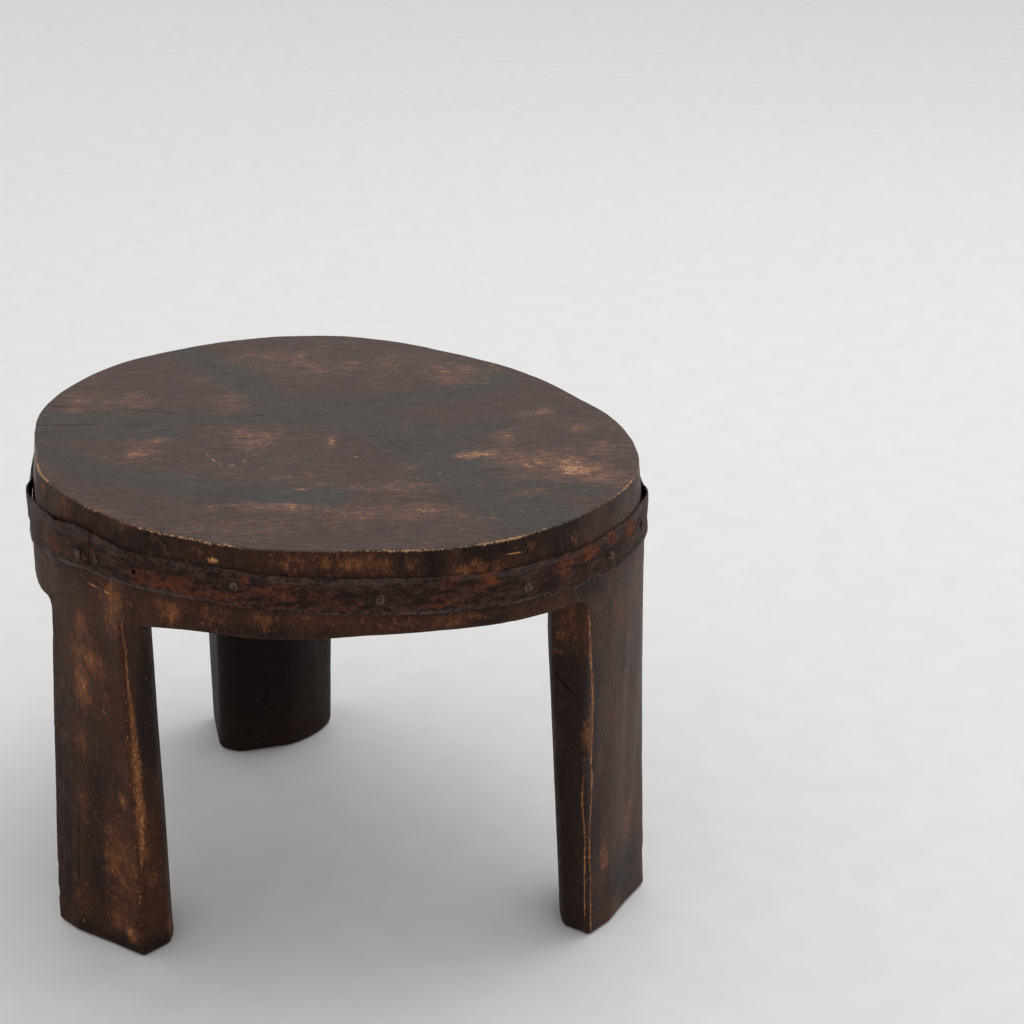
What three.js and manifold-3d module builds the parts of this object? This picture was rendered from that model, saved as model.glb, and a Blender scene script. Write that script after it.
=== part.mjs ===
// A low three-legged wooden stool, carved in one piece from a short log, with an iron hoop
// nailed round its rim. Millimetres, +Z up. The front is -Y and the feet stand on z = 0.
//
// The seat and the legs are what is left of the log: the seat is a full slice of it, and each
// leg keeps a piece of its outside, so the legs' outer faces run on from the rim of the seat.

import * as THREE from 'three';
import { mergeVertices } from 'three/addons/utils/BufferGeometryUtils.js';
import Module from 'manifold-3d';

const wasm = await Module();
wasm.setup();

const FULL_TURN = 2 * Math.PI;
const CIRCLE = THREE.MathUtils.radToDeg(FULL_TURN);

// Seat: a slice of the log. Its outline is a circle of SEAT_RADIUS that bulges out by
// RIM_BULGES at equal steps of angle, counted from +X towards +Y.
const SEAT_RADIUS = 185;
const RIM_BULGES = [
  -1.5, -13.5, -13.5, -5, 14.5, 17.5, 13.5, 3, -10.5, -12, -11.5, -7.5, -1, 9.5, 14, 11,
];
const SEAT_HEIGHT = 278;
const RIM_DEPTH = 49;
const RIM_EDGE_ROUND = 2;
const RIM_LOWER_BEVEL = 3;
const RIM_FLARE = 4.5;
const UNDERSIDE_HOLLOW = 9;
const UNDERSIDE_LIP = 26;
const UNDERSIDE_SLOPE = 94;
const UNDERSIDE_STEPS = 4;
const RIM_STEPS = 72;

// Legs: bearing is the direction of the leg's middle as seen from the seat's axis. left and
// right are half widths to the clockwise and the counterclockwise side, at the leg's outer and
// inner corners, and inset is how far the inner face lies inside the circle of SEAT_RADIUS. At
// the shoulder the outer face is the rim, and at the foot it is a straight cut between the two
// insets of footCut. Each inner corner is worn off over a depth along the bearing and a width
// across it, and fillet is how far the leg spreads to either side where it meets the seat.
const LEGS = [
  {
    bearing: 222,
    shoulder: { outerLeft: 35.6, outerRight: 44.5, innerLeft: 36, innerRight: 25.5, inset: 52 },
    foot: { outerLeft: 36.6, outerRight: 38.5, innerLeft: 31, innerRight: 33, inset: 53 },
    footCut: [1, 14],
    worn: { left: [18, 22], right: [19, 28] },
    fillet: { left: 26, right: 7 },
  },
  {
    bearing: 335,
    shoulder: { outerLeft: 51, outerRight: 44, innerLeft: 44, innerRight: 39, inset: 28 },
    foot: { outerLeft: 33, outerRight: 36, innerLeft: 29, innerRight: 33, inset: 24 },
    footCut: [-10.5, -16],
    worn: { left: [16, 30], right: [14, 16] },
    fillet: { left: 6, right: 18 },
  },
  {
    bearing: 109,
    shoulder: { outerLeft: 44.5, outerRight: 40, innerLeft: 43.5, innerRight: 42, inset: 51 },
    foot: { outerLeft: 39.5, outerRight: 39, innerLeft: 42.5, innerRight: 45, inset: 48 },
    footCut: [-16, -14],
    worn: { left: [30, 40], right: [14, 16] },
    fillet: { left: 18, right: 18 },
  },
];
const LEG_FILLET_HEIGHT = 32;
const LEG_INNER_FILLET = 14;
const LEG_OUTER_STEPS = 4;
const LEG_CORNER_STEPS = 4;
const LEG_CORNER_BULGE = 1.4;
const LEG_FILLET_STEPS = 5;
const RIM_REACH_PASSES = 6;

// Iron hoop: one strap bent round the rim, with its ends lapped. It hugs the wood except at two
// places, where it stands off a little. Its middle lies HOOP_DROP below the seat's top, and bows
// up by HOOP_BOW at the front and the back and down by as much at the two sides.
const HOOP_DROP = 27;
const HOOP_BOW = 2.5;
const HOOP_BOW_BEARING = 265;
const HOOP_WIDTH = 19.5;
const HOOP_THICKNESS = 1.8;
const HOOP_TOP_END = 227.1;
const HOOP_LAP = 9;
const HOOP_LAP_LEAD = 2;
const HOOP_LAP_RAMP = 7;
const HOOP_STAND_OFFS = [
  { bearing: 192, reach: 12.5, height: 1.7 },
  { bearing: 345.5, reach: 6.5, height: 1.5 },
];
const HOOP_STEPS = 144;

// Nails: forged nails with domed heads. The first two hold the lap. One has been lost from the
// front, and its holes are left in the hoop and the wood. Round the back they follow at even
// steps, up to BACK_NAILS_SHORT before the hoop's end. rise is how far above the middle of the
// strap a nail was driven.
const FRONT_NAILS = [
  { bearing: HOOP_TOP_END - 2.4, rise: 0 },
  { bearing: HOOP_TOP_END + 2.2, rise: -1 },
  { bearing: 259.4, rise: 3 },
  { bearing: 283.3, rise: -1.5 },
  { bearing: 306.7, rise: -2 },
  { bearing: 325.8, rise: -2 },
];
const LOST_NAIL = { bearing: 239.4, rise: 0.5 };
const BACK_NAIL_START = 339.5;
const BACK_NAILS_SHORT = 62.1;
const BACK_NAILS = 10;
const NAIL_HEAD_RADIUS = 2.9;
const NAIL_HEAD_RISE = 1.5;
const NAIL_SHANK_RADIUS = 1.3;
const NAIL_POINT_LENGTH = 5;
const NAIL_BITE = 20;
const NAIL_SIDES = 10;
const NAIL_DOME_STEPS = 3;
const NAIL_HOLE_MOUTH = 3;

// Clearance is left wherever two pieces meet, and a leg's top is buried this deep in the seat.
const CLEARANCE = 0.3;
const BURIED = 1.5;

const rimLow = SEAT_HEIGHT - RIM_DEPTH;
const rimHigh = SEAT_HEIGHT - RIM_EDGE_ROUND;
const rimWidest = rimLow + RIM_LOWER_BEVEL;
const wallLean = RIM_FLARE / (rimHigh - rimWidest);

const radians = (degrees) => THREE.MathUtils.degToRad(degrees);

// The radius of the log at an angle, with a smooth closed curve through the bulges.
function rimRadius(angle) {
  const count = RIM_BULGES.length;
  const place = THREE.MathUtils.euclideanModulo(angle / FULL_TURN, 1) * count;
  const start = Math.floor(place);
  const t = place - start;
  const [before, from, to, after] = [-1, 0, 1, 2].map((k) => RIM_BULGES[(start + k + count) % count]);
  const slopeFrom = (to - before) / 2;
  const slopeTo = (after - from) / 2;
  const rise = to - from;
  const bend = 3 * rise - 2 * slopeFrom - slopeTo;
  const twist = slopeFrom + slopeTo - 2 * rise;
  return SEAT_RADIUS + from + t * (slopeFrom + t * (bend + t * twist));
}

// A point on the rim, moved out from the outline along its normal.
function rimPoint(angle, outward, z) {
  const point = new THREE.Vector3(Math.cos(angle), Math.sin(angle), 0).multiplyScalar(rimRadius(angle));
  return point.addScaledVector(rimNormal(angle), outward).setZ(z);
}

function rimNormal(angle) {
  const step = FULL_TURN / (10 * RIM_STEPS);
  const [a, b] = [angle - step, angle + step].map((side) =>
    new THREE.Vector2(Math.cos(side), Math.sin(side)).multiplyScalar(rimRadius(side)));
  const along = b.sub(a).normalize();
  return new THREE.Vector3(along.y, -along.x, 0);
}

// How far the rim's wall stands out from the outline at a height.
function wallOutward(z) {
  return wallLean * THREE.MathUtils.clamp(rimHigh - z, 0, rimHigh - rimWidest);
}

// A closed skin over rings of equally many points, each ring counterclockwise seen from the
// next one, with a fan of triangles closing each end.
function loft(rings) {
  const size = rings[0].length;
  const points = rings.flat();
  const index = [];
  for (let ring = 0; ring + 1 < rings.length; ring += 1) {
    for (let k = 0; k < size; k += 1) {
      const a = ring * size + k;
      const b = ring * size + ((k + 1) % size);
      index.push(a, b, b + size, a, b + size, a + size);
    }
  }
  const caps = [[rings[0], 0, true], [rings.at(-1), (rings.length - 1) * size, false]];
  for (const [ring, offset, first] of caps) {
    const middle = ring.reduce((sum, point) => sum.add(point), new THREE.Vector3()).divideScalar(size);
    const hub = points.push(middle) - 1;
    for (let k = 0; k < size; k += 1) {
      const a = offset + k;
      const b = offset + ((k + 1) % size);
      index.push(...(first ? [hub, b, a] : [hub, a, b]));
    }
  }
  const geometry = new THREE.BufferGeometry();
  const places = points.flatMap((point) => point.toArray());
  geometry.setAttribute('position', new THREE.Float32BufferAttribute(places, 3));
  geometry.setIndex(index);
  return geometry;
}

function solidOf(geometry) {
  const bare = geometry.clone();
  bare.deleteAttribute('normal');
  bare.deleteAttribute('uv');
  const merged = mergeVertices(bare, 1e-4);
  return new wasm.Manifold(new wasm.Mesh({
    numProp: 3,
    vertProperties: new Float32Array(merged.attributes.position.array),
    triVerts: new Uint32Array(merged.index.array),
  }));
}

function geometryOf(solid) {
  const { vertProperties, triVerts } = solid.getMesh();
  const geometry = new THREE.BufferGeometry();
  geometry.setAttribute('position', new THREE.BufferAttribute(new Float32Array(vertProperties), 3));
  geometry.setIndex([...triVerts]);
  geometry.computeVertexNormals();
  return geometry;
}

// The seat slice: flat on top with a worn round edge, a rim that flares a little towards its
// lower edge, and an underside that is hollowed inside a flat lip.
function seatSolid() {
  const angles = Array.from({ length: RIM_STEPS }, (_, k) => (k / RIM_STEPS) * FULL_TURN);
  const ring = (outward, z) => angles.map((angle) => rimPoint(angle, outward, z));
  const halfRound = RIM_EDGE_ROUND * (1 - Math.SQRT1_2);
  const hollow = Array.from({ length: UNDERSIDE_STEPS + 1 }, (_, k) => {
    const along = 1 - k / UNDERSIDE_STEPS;
    const rise = UNDERSIDE_HOLLOW * Math.sin(along * Math.PI / 2);
    return ring(-UNDERSIDE_LIP - along * UNDERSIDE_SLOPE, rimLow + rise);
  });
  return solidOf(loft([
    ...hollow,
    ring(RIM_FLARE - RIM_LOWER_BEVEL, rimLow),
    ring(RIM_FLARE, rimWidest),
    ring(0, rimHigh),
    ring(-halfRound, SEAT_HEIGHT - halfRound),
    ring(-RIM_EDGE_ROUND, SEAT_HEIGHT),
  ]));
}

// How far the rim lies from the axis along a leg's bearing, at a distance sideways from it.
function rimReach(bearing, sideways, outward) {
  let reach = rimRadius(bearing);
  for (let pass = 0; pass < RIM_REACH_PASSES; pass += 1) {
    const angle = bearing + Math.atan2(sideways, reach);
    reach = Math.sqrt(Math.max(0, (rimRadius(angle) + outward) ** 2 - sideways ** 2));
  }
  return reach;
}

// A leg: its section changes evenly from the foot to the shoulder and then spreads in a quarter
// round, all along the rim and inwards, until it is buried in the seat.
function legSolid({ bearing, shoulder, foot, footCut, worn, fillet }) {
  const direction = radians(bearing);
  const outwards = new THREE.Vector3(Math.cos(direction), Math.sin(direction), 0);
  const sideways = new THREE.Vector3(-outwards.y, outwards.x, 0);
  const shoulderHeight = rimLow - LEG_FILLET_HEIGHT;

  function section(z, spreading, flare) {
    const t = Math.min(1, z / shoulderHeight);
    const left = fillet.left * spreading;
    const right = fillet.right * spreading;
    const inwards = LEG_INNER_FILLET * spreading;
    const size = Object.fromEntries(Object.keys(foot).map((key) =>
      [key, THREE.MathUtils.lerp(foot[key], shoulder[key], t)]));
    const at = (u, v) => outwards.clone().multiplyScalar(u).addScaledVector(sideways, v).setZ(z);
    const outerFace = Array.from({ length: LEG_OUTER_STEPS + 1 }, (_, k) => {
      const along = k / LEG_OUTER_STEPS;
      const v = THREE.MathUtils.lerp(-size.outerLeft - left, size.outerRight + right, along);
      const cut = SEAT_RADIUS - THREE.MathUtils.lerp(...footCut, along);
      return at(THREE.MathUtils.lerp(cut, rimReach(direction, v, flare), t), v);
    });
    const corner = (side, half, [depth, width], order) => order.map((k) => {
      const turn = (k / LEG_CORNER_STEPS) * (Math.PI / 2);
      const back = depth * (1 - Math.cos(turn) ** (2 / LEG_CORNER_BULGE));
      const across = half - width + width * Math.cos(Math.PI / 2 - turn) ** (2 / LEG_CORNER_BULGE);
      return at(SEAT_RADIUS - size.inset - inwards + back, side * across);
    });
    const steps = Array.from({ length: LEG_CORNER_STEPS + 1 }, (_, k) => k);
    return [
      ...outerFace,
      ...corner(1, size.innerRight + right, worn.right, steps.toReversed()),
      ...corner(-1, size.innerLeft + left, worn.left, steps),
    ];
  }

  const rings = [section(0, 0, RIM_FLARE), section(shoulderHeight, 0, RIM_FLARE)];
  for (let k = 1; k <= LEG_FILLET_STEPS; k += 1) {
    const turn = (k / LEG_FILLET_STEPS) * (Math.PI / 2);
    const z = shoulderHeight + LEG_FILLET_HEIGHT * Math.sin(turn);
    rings.push(section(z, 1 - Math.cos(turn), RIM_FLARE));
  }
  rings.push(section(rimLow + UNDERSIDE_HOLLOW + BURIED, 1, RIM_FLARE - BURIED));
  return solidOf(loft(rings));
}

function standOff(bearing) {
  return HOOP_STAND_OFFS.reduce((sum, place) => {
    const turned = THREE.MathUtils.euclideanModulo(bearing - place.bearing, CIRCLE);
    const away = Math.min(turned, CIRCLE - turned);
    const along = Math.min(1, away / place.reach);
    return sum + place.height * (1 + Math.cos(along * Math.PI)) / 2;
  }, 0);
}

// The strap starts under the lap and ends on top of it, one turn and the lap further round.
const hoopStart = HOOP_TOP_END - HOOP_LAP;
const hoopEnd = HOOP_TOP_END + CIRCLE;

function hoopMiddle(bearing) {
  return SEAT_HEIGHT - HOOP_DROP + HOOP_BOW * Math.cos(2 * radians(bearing - HOOP_BOW_BEARING));
}

// How far the strap's inner face lies from the outline at a bearing counted along the strap. It
// leans as the wall does, and its last stretch climbs by one thickness and lies over the first.
function hoopInside(bearing, z) {
  const rampEnd = hoopStart + CIRCLE - HOOP_LAP_LEAD;
  const climb = THREE.MathUtils.smoothstep(bearing, rampEnd - HOOP_LAP_RAMP, rampEnd);
  return wallOutward(z) + CLEARANCE + standOff(bearing) + climb * (HOOP_THICKNESS + CLEARANCE);
}

// The outer face where a nail's head sits: over the lap, that of the upper layer.
function hoopFace({ bearing, rise }) {
  const lapped = bearing >= hoopStart && bearing <= HOOP_TOP_END;
  return hoopInside(lapped ? bearing + CIRCLE : bearing, hoopMiddle(bearing) + rise) + HOOP_THICKNESS;
}

function hoopSolid() {
  const rings = Array.from({ length: HOOP_STEPS + 1 }, (_, k) => {
    const bearing = THREE.MathUtils.lerp(hoopStart, hoopEnd, k / HOOP_STEPS);
    const corners = [[0, -1], [0, 1], [HOOP_THICKNESS, 1], [HOOP_THICKNESS, -1]];
    return corners.map(([outward, side]) => {
      const z = hoopMiddle(bearing) + side * HOOP_WIDTH / 2;
      return rimPoint(radians(bearing), hoopInside(bearing, z) + outward, z);
    });
  });
  return solidOf(loft(rings));
}

const backNails = Array.from({ length: BACK_NAILS }, (_, k) => {
  const along = k / (BACK_NAILS - 1);
  return { bearing: THREE.MathUtils.lerp(BACK_NAIL_START, hoopEnd - BACK_NAILS_SHORT, along), rise: 0 };
});
const nails = [...FRONT_NAILS, ...backNails];

// A pin square to the hoop's face, which leans as the wall does. It is turned from a profile of
// [radius, reach] pairs, where reach is counted outwards from the hoop's outer face.
function pinAt(nail, profile) {
  const outline = profile.map(([radius, reach]) => new THREE.Vector2(radius, reach));
  const angle = radians(nail.bearing);
  const seat = rimPoint(angle, hoopFace(nail), hoopMiddle(nail.bearing) + nail.rise);
  const square = rimNormal(angle).setZ(wallLean).normalize();
  const turn = new THREE.Quaternion().setFromUnitVectors(new THREE.Vector3(0, 1, 0), square);
  const pin = new THREE.LatheGeometry(outline, NAIL_SIDES).applyQuaternion(turn);
  return pin.translate(seat.x, seat.y, seat.z);
}

// A nail: a point, a round shank and a domed head that bears on the hoop.
function nailGeometry(nail) {
  const tip = -(hoopFace(nail) + NAIL_BITE);
  const dome = Array.from({ length: NAIL_DOME_STEPS + 1 }, (_, k) => {
    const turn = (k / NAIL_DOME_STEPS) * (Math.PI / 2);
    const radius = k < NAIL_DOME_STEPS ? NAIL_HEAD_RADIUS * Math.cos(turn) : 0;
    return [radius, CLEARANCE + NAIL_HEAD_RISE * Math.sin(turn)];
  });
  return pinAt(nail, [
    [0, tip],
    [NAIL_SHANK_RADIUS, tip + NAIL_POINT_LENGTH],
    [NAIL_SHANK_RADIUS, CLEARANCE],
    ...dome,
  ]);
}

function nailHole(nail) {
  const end = -(hoopFace(nail) + NAIL_BITE + CLEARANCE);
  const radius = NAIL_SHANK_RADIUS + CLEARANCE;
  return solidOf(pinAt(nail, [[0, end], [radius, end], [radius, NAIL_HOLE_MOUTH], [0, NAIL_HOLE_MOUTH]]));
}

const holes = [...nails, LOST_NAIL].map(nailHole).reduce((sum, hole) => sum.add(hole));
const carved = LEGS.map(legSolid).reduce((sum, leg) => sum.add(leg), seatSolid());

const wood = new THREE.MeshStandardMaterial({ color: 0x4a3022, roughness: 0.55, metalness: 0 });
const iron = new THREE.MeshStandardMaterial({ color: 0x3a2c2a, roughness: 0.6, metalness: 0.8 });
const wornIron = new THREE.MeshStandardMaterial({ color: 0x5f5048, roughness: 0.5, metalness: 0.85 });

const stool = new THREE.Group();

function addPiece(name, geometry, material) {
  const mesh = new THREE.Mesh(geometry, material);
  mesh.name = name;
  stool.add(mesh);
}

addPiece('stool_body', geometryOf(carved.subtract(holes)), wood);
addPiece('iron_hoop', geometryOf(hoopSolid().subtract(holes)), iron);
nails.forEach((nail, k) => {
  addPiece(`hoop_nail_${String(k + 1).padStart(2, '0')}`, nailGeometry(nail), wornIron);
});

// The origin is the middle of the stool's outline on the ground.
const box = new THREE.Box3().setFromObject(stool, true);
const middle = box.getCenter(new THREE.Vector3());
stool.position.set(-middle.x, -middle.y, -box.min.z);

export default stool;
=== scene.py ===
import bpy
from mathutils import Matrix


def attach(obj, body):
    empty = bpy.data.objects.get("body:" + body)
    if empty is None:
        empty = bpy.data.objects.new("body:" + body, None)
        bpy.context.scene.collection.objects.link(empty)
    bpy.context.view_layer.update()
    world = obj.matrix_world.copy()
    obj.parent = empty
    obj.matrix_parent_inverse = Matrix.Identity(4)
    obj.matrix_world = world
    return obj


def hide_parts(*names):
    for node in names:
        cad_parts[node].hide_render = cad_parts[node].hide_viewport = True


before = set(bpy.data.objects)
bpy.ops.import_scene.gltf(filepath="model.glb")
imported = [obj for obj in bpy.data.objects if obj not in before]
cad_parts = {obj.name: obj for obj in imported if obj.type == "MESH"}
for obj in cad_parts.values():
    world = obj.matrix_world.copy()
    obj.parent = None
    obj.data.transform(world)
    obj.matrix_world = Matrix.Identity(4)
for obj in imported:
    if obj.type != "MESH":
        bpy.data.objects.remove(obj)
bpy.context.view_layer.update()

from types import SimpleNamespace

import bpy
import numpy as np
from mathutils import Matrix, Vector

# The log. Seat and legs are one piece of hardwood, carved from a short log: the seat is a slice
# of it, each leg keeps a piece of its outside, and the wood between them was cut away. All
# sizes in this script are in millimetres, counted from the seat's axis.
MM = 0.001
SEAT_AXIS = np.array([-7.12, -7.16, 0.0])
SEAT_TOP = 278.0
SEAT_RADIUS = 185.0

# The hewn outline of the top, as bearing in degrees and radius at each of its blunt corners.
OUTLINE = np.array([
    (3, 181.5), (13, 176.5), (21, 172), (29, 169), (43, 171.3), (58, 174.7), (70, 181),
    (80, 190.5), (91, 201), (103, 203.6), (115, 202.5), (127, 199.5), (136, 198.6), (143, 195.7),
    (152, 191), (168, 182.5), (180, 174.5), (191, 170.5), (204, 173.3), (219, 172.8), (231, 173.8),
    (237, 176.7), (250, 177.7), (263, 183.4), (280, 185), (293, 194.8), (303, 198.8), (317, 199),
    (333, 196.9), (342, 195), (352, 188.5),
])
OUTLINE_BLUNTING = 1.6

# The rim hangs lower where it runs into the legs: bearing and height of its lower edge.
LOWER_EDGE = np.array([
    (20, 229), (60, 229), (85, 222), (130, 222), (152, 226), (172, 218), (183, 211), (190, 207),
    (204, 205), (236, 218), (243, 222.5), (251, 225.5), (268, 227.6), (280, 229.3), (292, 232.3),
    (300, 231.2), (308, 229.8), (314, 229), (324, 226), (350, 222),
])
LOWER_EDGE_BLUNTING = 4.0
LIP_FROM, LIP_TO = 4, 34
RIM_FLARE = 4.5
RIM_FLARE_TOP = 276.0
RIM_FLARE_FOOT = 232.0
SEAT_DEPTH = 49
HOLLOW_RISE = 9.0
HOLLOW_LIP = 26.0
HOLLOW_SLOPE = 94.0
SHOULDER = 197.0


def periodic(table, bearing, blunting=0.0):
    """A closed line through a table of bearings and values. With blunting, in degrees, the line
    is averaged over a bell of that width, which takes the points off its corners."""
    fine = np.arange(0, 360, 0.25)
    values = np.interp(fine, table[:, 0], table[:, 1], period=360)
    if blunting:
        away = np.minimum(fine, 360 - fine)
        bell = np.exp(-0.5 * (away / blunting) ** 2)
        values = np.fft.irfft(np.fft.rfft(values) * np.fft.rfft(bell / bell.sum()), len(fine))
    return np.interp(bearing, fine, values, period=360)


def rim_radius(bearing):
    """Radius of the top's outline at a bearing, with its corners a little blunted."""
    return periodic(OUTLINE, bearing, OUTLINE_BLUNTING)


def ramp(x, low, high):
    """0 below low, 1 above high and a smooth S between them."""
    t = np.clip((x - low) / (high - low), 0, 1)
    return t * t * (3 - 2 * t)


def rounded(a, b, radius):
    """Both of two solids, given by their distances, with the edge between them rounded off."""
    inside = np.minimum(-radius, np.maximum(a, b))
    return inside + np.hypot(np.maximum(radius + a, 0), np.maximum(radius + b, 0))


# Each leg as seen from the seat's axis: its bearing, its half widths to the left (clockwise) and
# right at the outer and the inner corners, the inner face's inset from the seat's circle, all at
# the foot and at the shoulder, and how its foot is cut, as sideways place and inset of corners.
# corners are the depth and width worn off the inner corners, and hollows the radius of the
# carver's hollow between the seat and the leg's left, right and inner faces. toe is how much the
# left side draws in at the sole, and waist how far the outer face is hollow halfway down.
LEGS = [
    dict(bearing=222, foot=(36.6, 38.5, 31, 33, 53), shoulder=(35.6, 44.5, 36, 25.5, 52),
         cut=[(-35.5, 0.5), (-14, 1.5), (12, 9), (38.5, 15.5)],
         corners=[(18, 22), (19, 28)], hollows=(6, 4, 14), toe=2.5, waist=0),
    dict(bearing=335, foot=(33, 36, 29, 33, 24), shoulder=(51, 44, 44, 39, 28),
         cut=[(-33, -9.5), (-15, -14), (9, -14), (36, -15.5)],
         corners=[(16, 30), (14, 16)], hollows=(6, 18, 14), toe=0, waist=1.7),
    dict(bearing=109, foot=(39.5, 39, 42.5, 45, 48), shoulder=(44.5, 40, 43.5, 42, 51),
         cut=[(-39, -15), (0, -16), (36, -13)],
         corners=[(30, 40), (14, 16)], hollows=(18, 18, 14), toe=0, waist=0),
]
TOE_HEIGHT = 60.0
SIDE_HOLLOWS_MEET = 12
INNER_HOLLOW_FROM, INNER_HOLLOW_TO = 150, 166
CORNER_POWER = 1.4
SMALL = 1e-3
TOP_EDGE = 1.0
SIDE_EDGE = 2.6
SOLE_EDGE = 3.4


def leg_place(leg, x, y):
    """Distance outwards along a leg's bearing, and sideways from it."""
    direction = np.radians(leg["bearing"])
    c, s = np.cos(direction), np.sin(direction)
    return x * c + y * s, y * c - x * s


def leg_sides(leg, x, y, z):
    """Distance to the leg's side and inner faces. Each side is a plane that leans evenly from foot
    to shoulder, and each inner corner is worn to a flat oval round: the sum of the shares of its
    depth and width, each to a power, is one."""
    out, side = leg_place(leg, x, y)
    t = np.minimum(1, z / SHOULDER)
    outer_l, outer_r, inner_l, inner_r, inset = (
        a + (b - a) * t for a, b in zip(leg["foot"], leg["shoulder"]))
    outer_l = outer_l - leg["toe"] * np.clip(1 - z / TOE_HEIGHT, 0, 1) ** 2
    inner = SEAT_RADIUS - inset
    along = (out - inner) / inset
    faces = []
    for sign, outer_half, inner_half, (depth, width) in (
            (-1, outer_l, inner_l, leg["corners"][0]), (1, outer_r, inner_r, leg["corners"][1])):
        half = inner_half + (outer_half - inner_half) * along
        p = np.maximum(1 - (out - inner) / depth, 0)
        q = np.maximum(1 - (half - sign * side) / width, 0)
        scale = (depth * p + width * q + SMALL) / (p + q + SMALL / depth)
        oval = ((p ** CORNER_POWER + q ** CORNER_POWER) ** (1 / CORNER_POWER) - 1) * scale
        deep = np.maximum(inner - out, sign * side - half)
        faces.append(np.where((p > 0) | (q > 0), oval, deep))
    return np.maximum(*faces)


def nearest_leg(x, y):
    """The number of the leg whose bearing is nearest, for each point."""
    turns = [np.cos(np.arctan2(y, x) - np.radians(leg["bearing"])) for leg in LEGS]
    return np.argmax(turns, axis=0)


def log_wall(x, y, z):
    """Distance to the outside of the log: its outline, flaring a little downwards, and below the
    shoulder a blend of that and the straight cuts at the feet."""
    bearing = np.degrees(np.arctan2(y, x))
    radius = rim_radius(bearing)
    slope = np.degrees(rim_radius(bearing + 0.5) - rim_radius(bearing - 0.5))
    flare = RIM_FLARE * np.clip((RIM_FLARE_TOP - z) / (RIM_FLARE_TOP - RIM_FLARE_FOOT), 0, 1)
    rim = (np.hypot(x, y) - radius) / np.hypot(1, slope / radius) - flare
    t = np.clip(z / SHOULDER, 0, 1)
    wall = rim
    nearest = nearest_leg(x, y)
    for number, leg in enumerate(LEGS):
        out, side = leg_place(leg, x, y)
        places, insets = np.array(leg["cut"]).T
        left, right = np.diff(insets)[[0, -1]] / np.diff(places)[[0, -1]]
        inset = np.interp(side, places, insets)
        inset = inset + left * np.minimum(side - places[0], 0) + right * np.maximum(side - places[-1], 0)
        outer_face = (1 - t) * (out - SEAT_RADIUS + inset) + t * rim + 4 * leg["waist"] * t * (1 - t)
        wall = np.where((nearest == number) & (z < SHOULDER), outer_face, wall)
    return wall


def underside(x, y):
    """Height of the seat's underside: the lower edge of the rim, and a shallow hollow inside it."""
    bearing = np.degrees(np.arctan2(y, x))
    inset = rim_radius(bearing) - np.hypot(x, y)
    level = SEAT_TOP - SEAT_DEPTH
    lip = (periodic(LOWER_EDGE, bearing, LOWER_EDGE_BLUNTING) - level) * (1 - ramp(inset, LIP_FROM, LIP_TO))
    return level + lip + HOLLOW_RISE * np.sin(np.pi / 2 * np.clip((inset - HOLLOW_LIP) / HOLLOW_SLOPE, 0, 1))


def carved_log(x, y, z, worn=1.0):
    """Distance to the stool's wood: the log, less the space that was cut away below the seat and
    outside the legs. worn=0 gives the same shape before its edges wore round."""
    cleared = z - underside(x, y)
    for leg in LEGS:
        out, side = leg_place(leg, x, y)
        left, right, inner = leg["hollows"]
        radius = left + (right - left) * ramp(side, -SIDE_HOLLOWS_MEET, SIDE_HOLLOWS_MEET)
        radius = inner + (radius - inner) * ramp(out, INNER_HOLLOW_FROM, INNER_HOLLOW_TO)
        cleared = rounded(cleared, -leg_sides(leg, x, y, z), radius)
    wood = rounded(log_wall(x, y, z), z - SEAT_TOP, TOP_EDGE * worn)
    wood = rounded(wood, -cleared, SIDE_EDGE * worn)
    return rounded(wood, -z, SOLE_EDGE * worn)


# Lines of the grid on which the skin is found. It turns round the seat's axis and follows the
# outline, so that its lines run along the rim, and it is finest at the top edge and at the legs.
TURNS = 420
REACH_LINES = np.concatenate([
    np.linspace(0.03, 0.3, 12, endpoint=False), np.linspace(0.3, 0.965, 40, endpoint=False),
    np.linspace(0.965, 1.03, 15, endpoint=False), np.linspace(1.03, 1.1, 6)])
LEVELS = np.concatenate([
    [-1.5, -0.4, 0.6, 1.7, 3.0, 4.5], np.linspace(6.5, 200, 62, endpoint=False),
    np.linspace(200, 236, 15, endpoint=False), np.linspace(236, 270, 11, endpoint=False),
    np.linspace(270, 275, 4, endpoint=False), np.linspace(275, 279.6, 7)])
LEAST_SLOPE_SQUARED = 0.04


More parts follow.
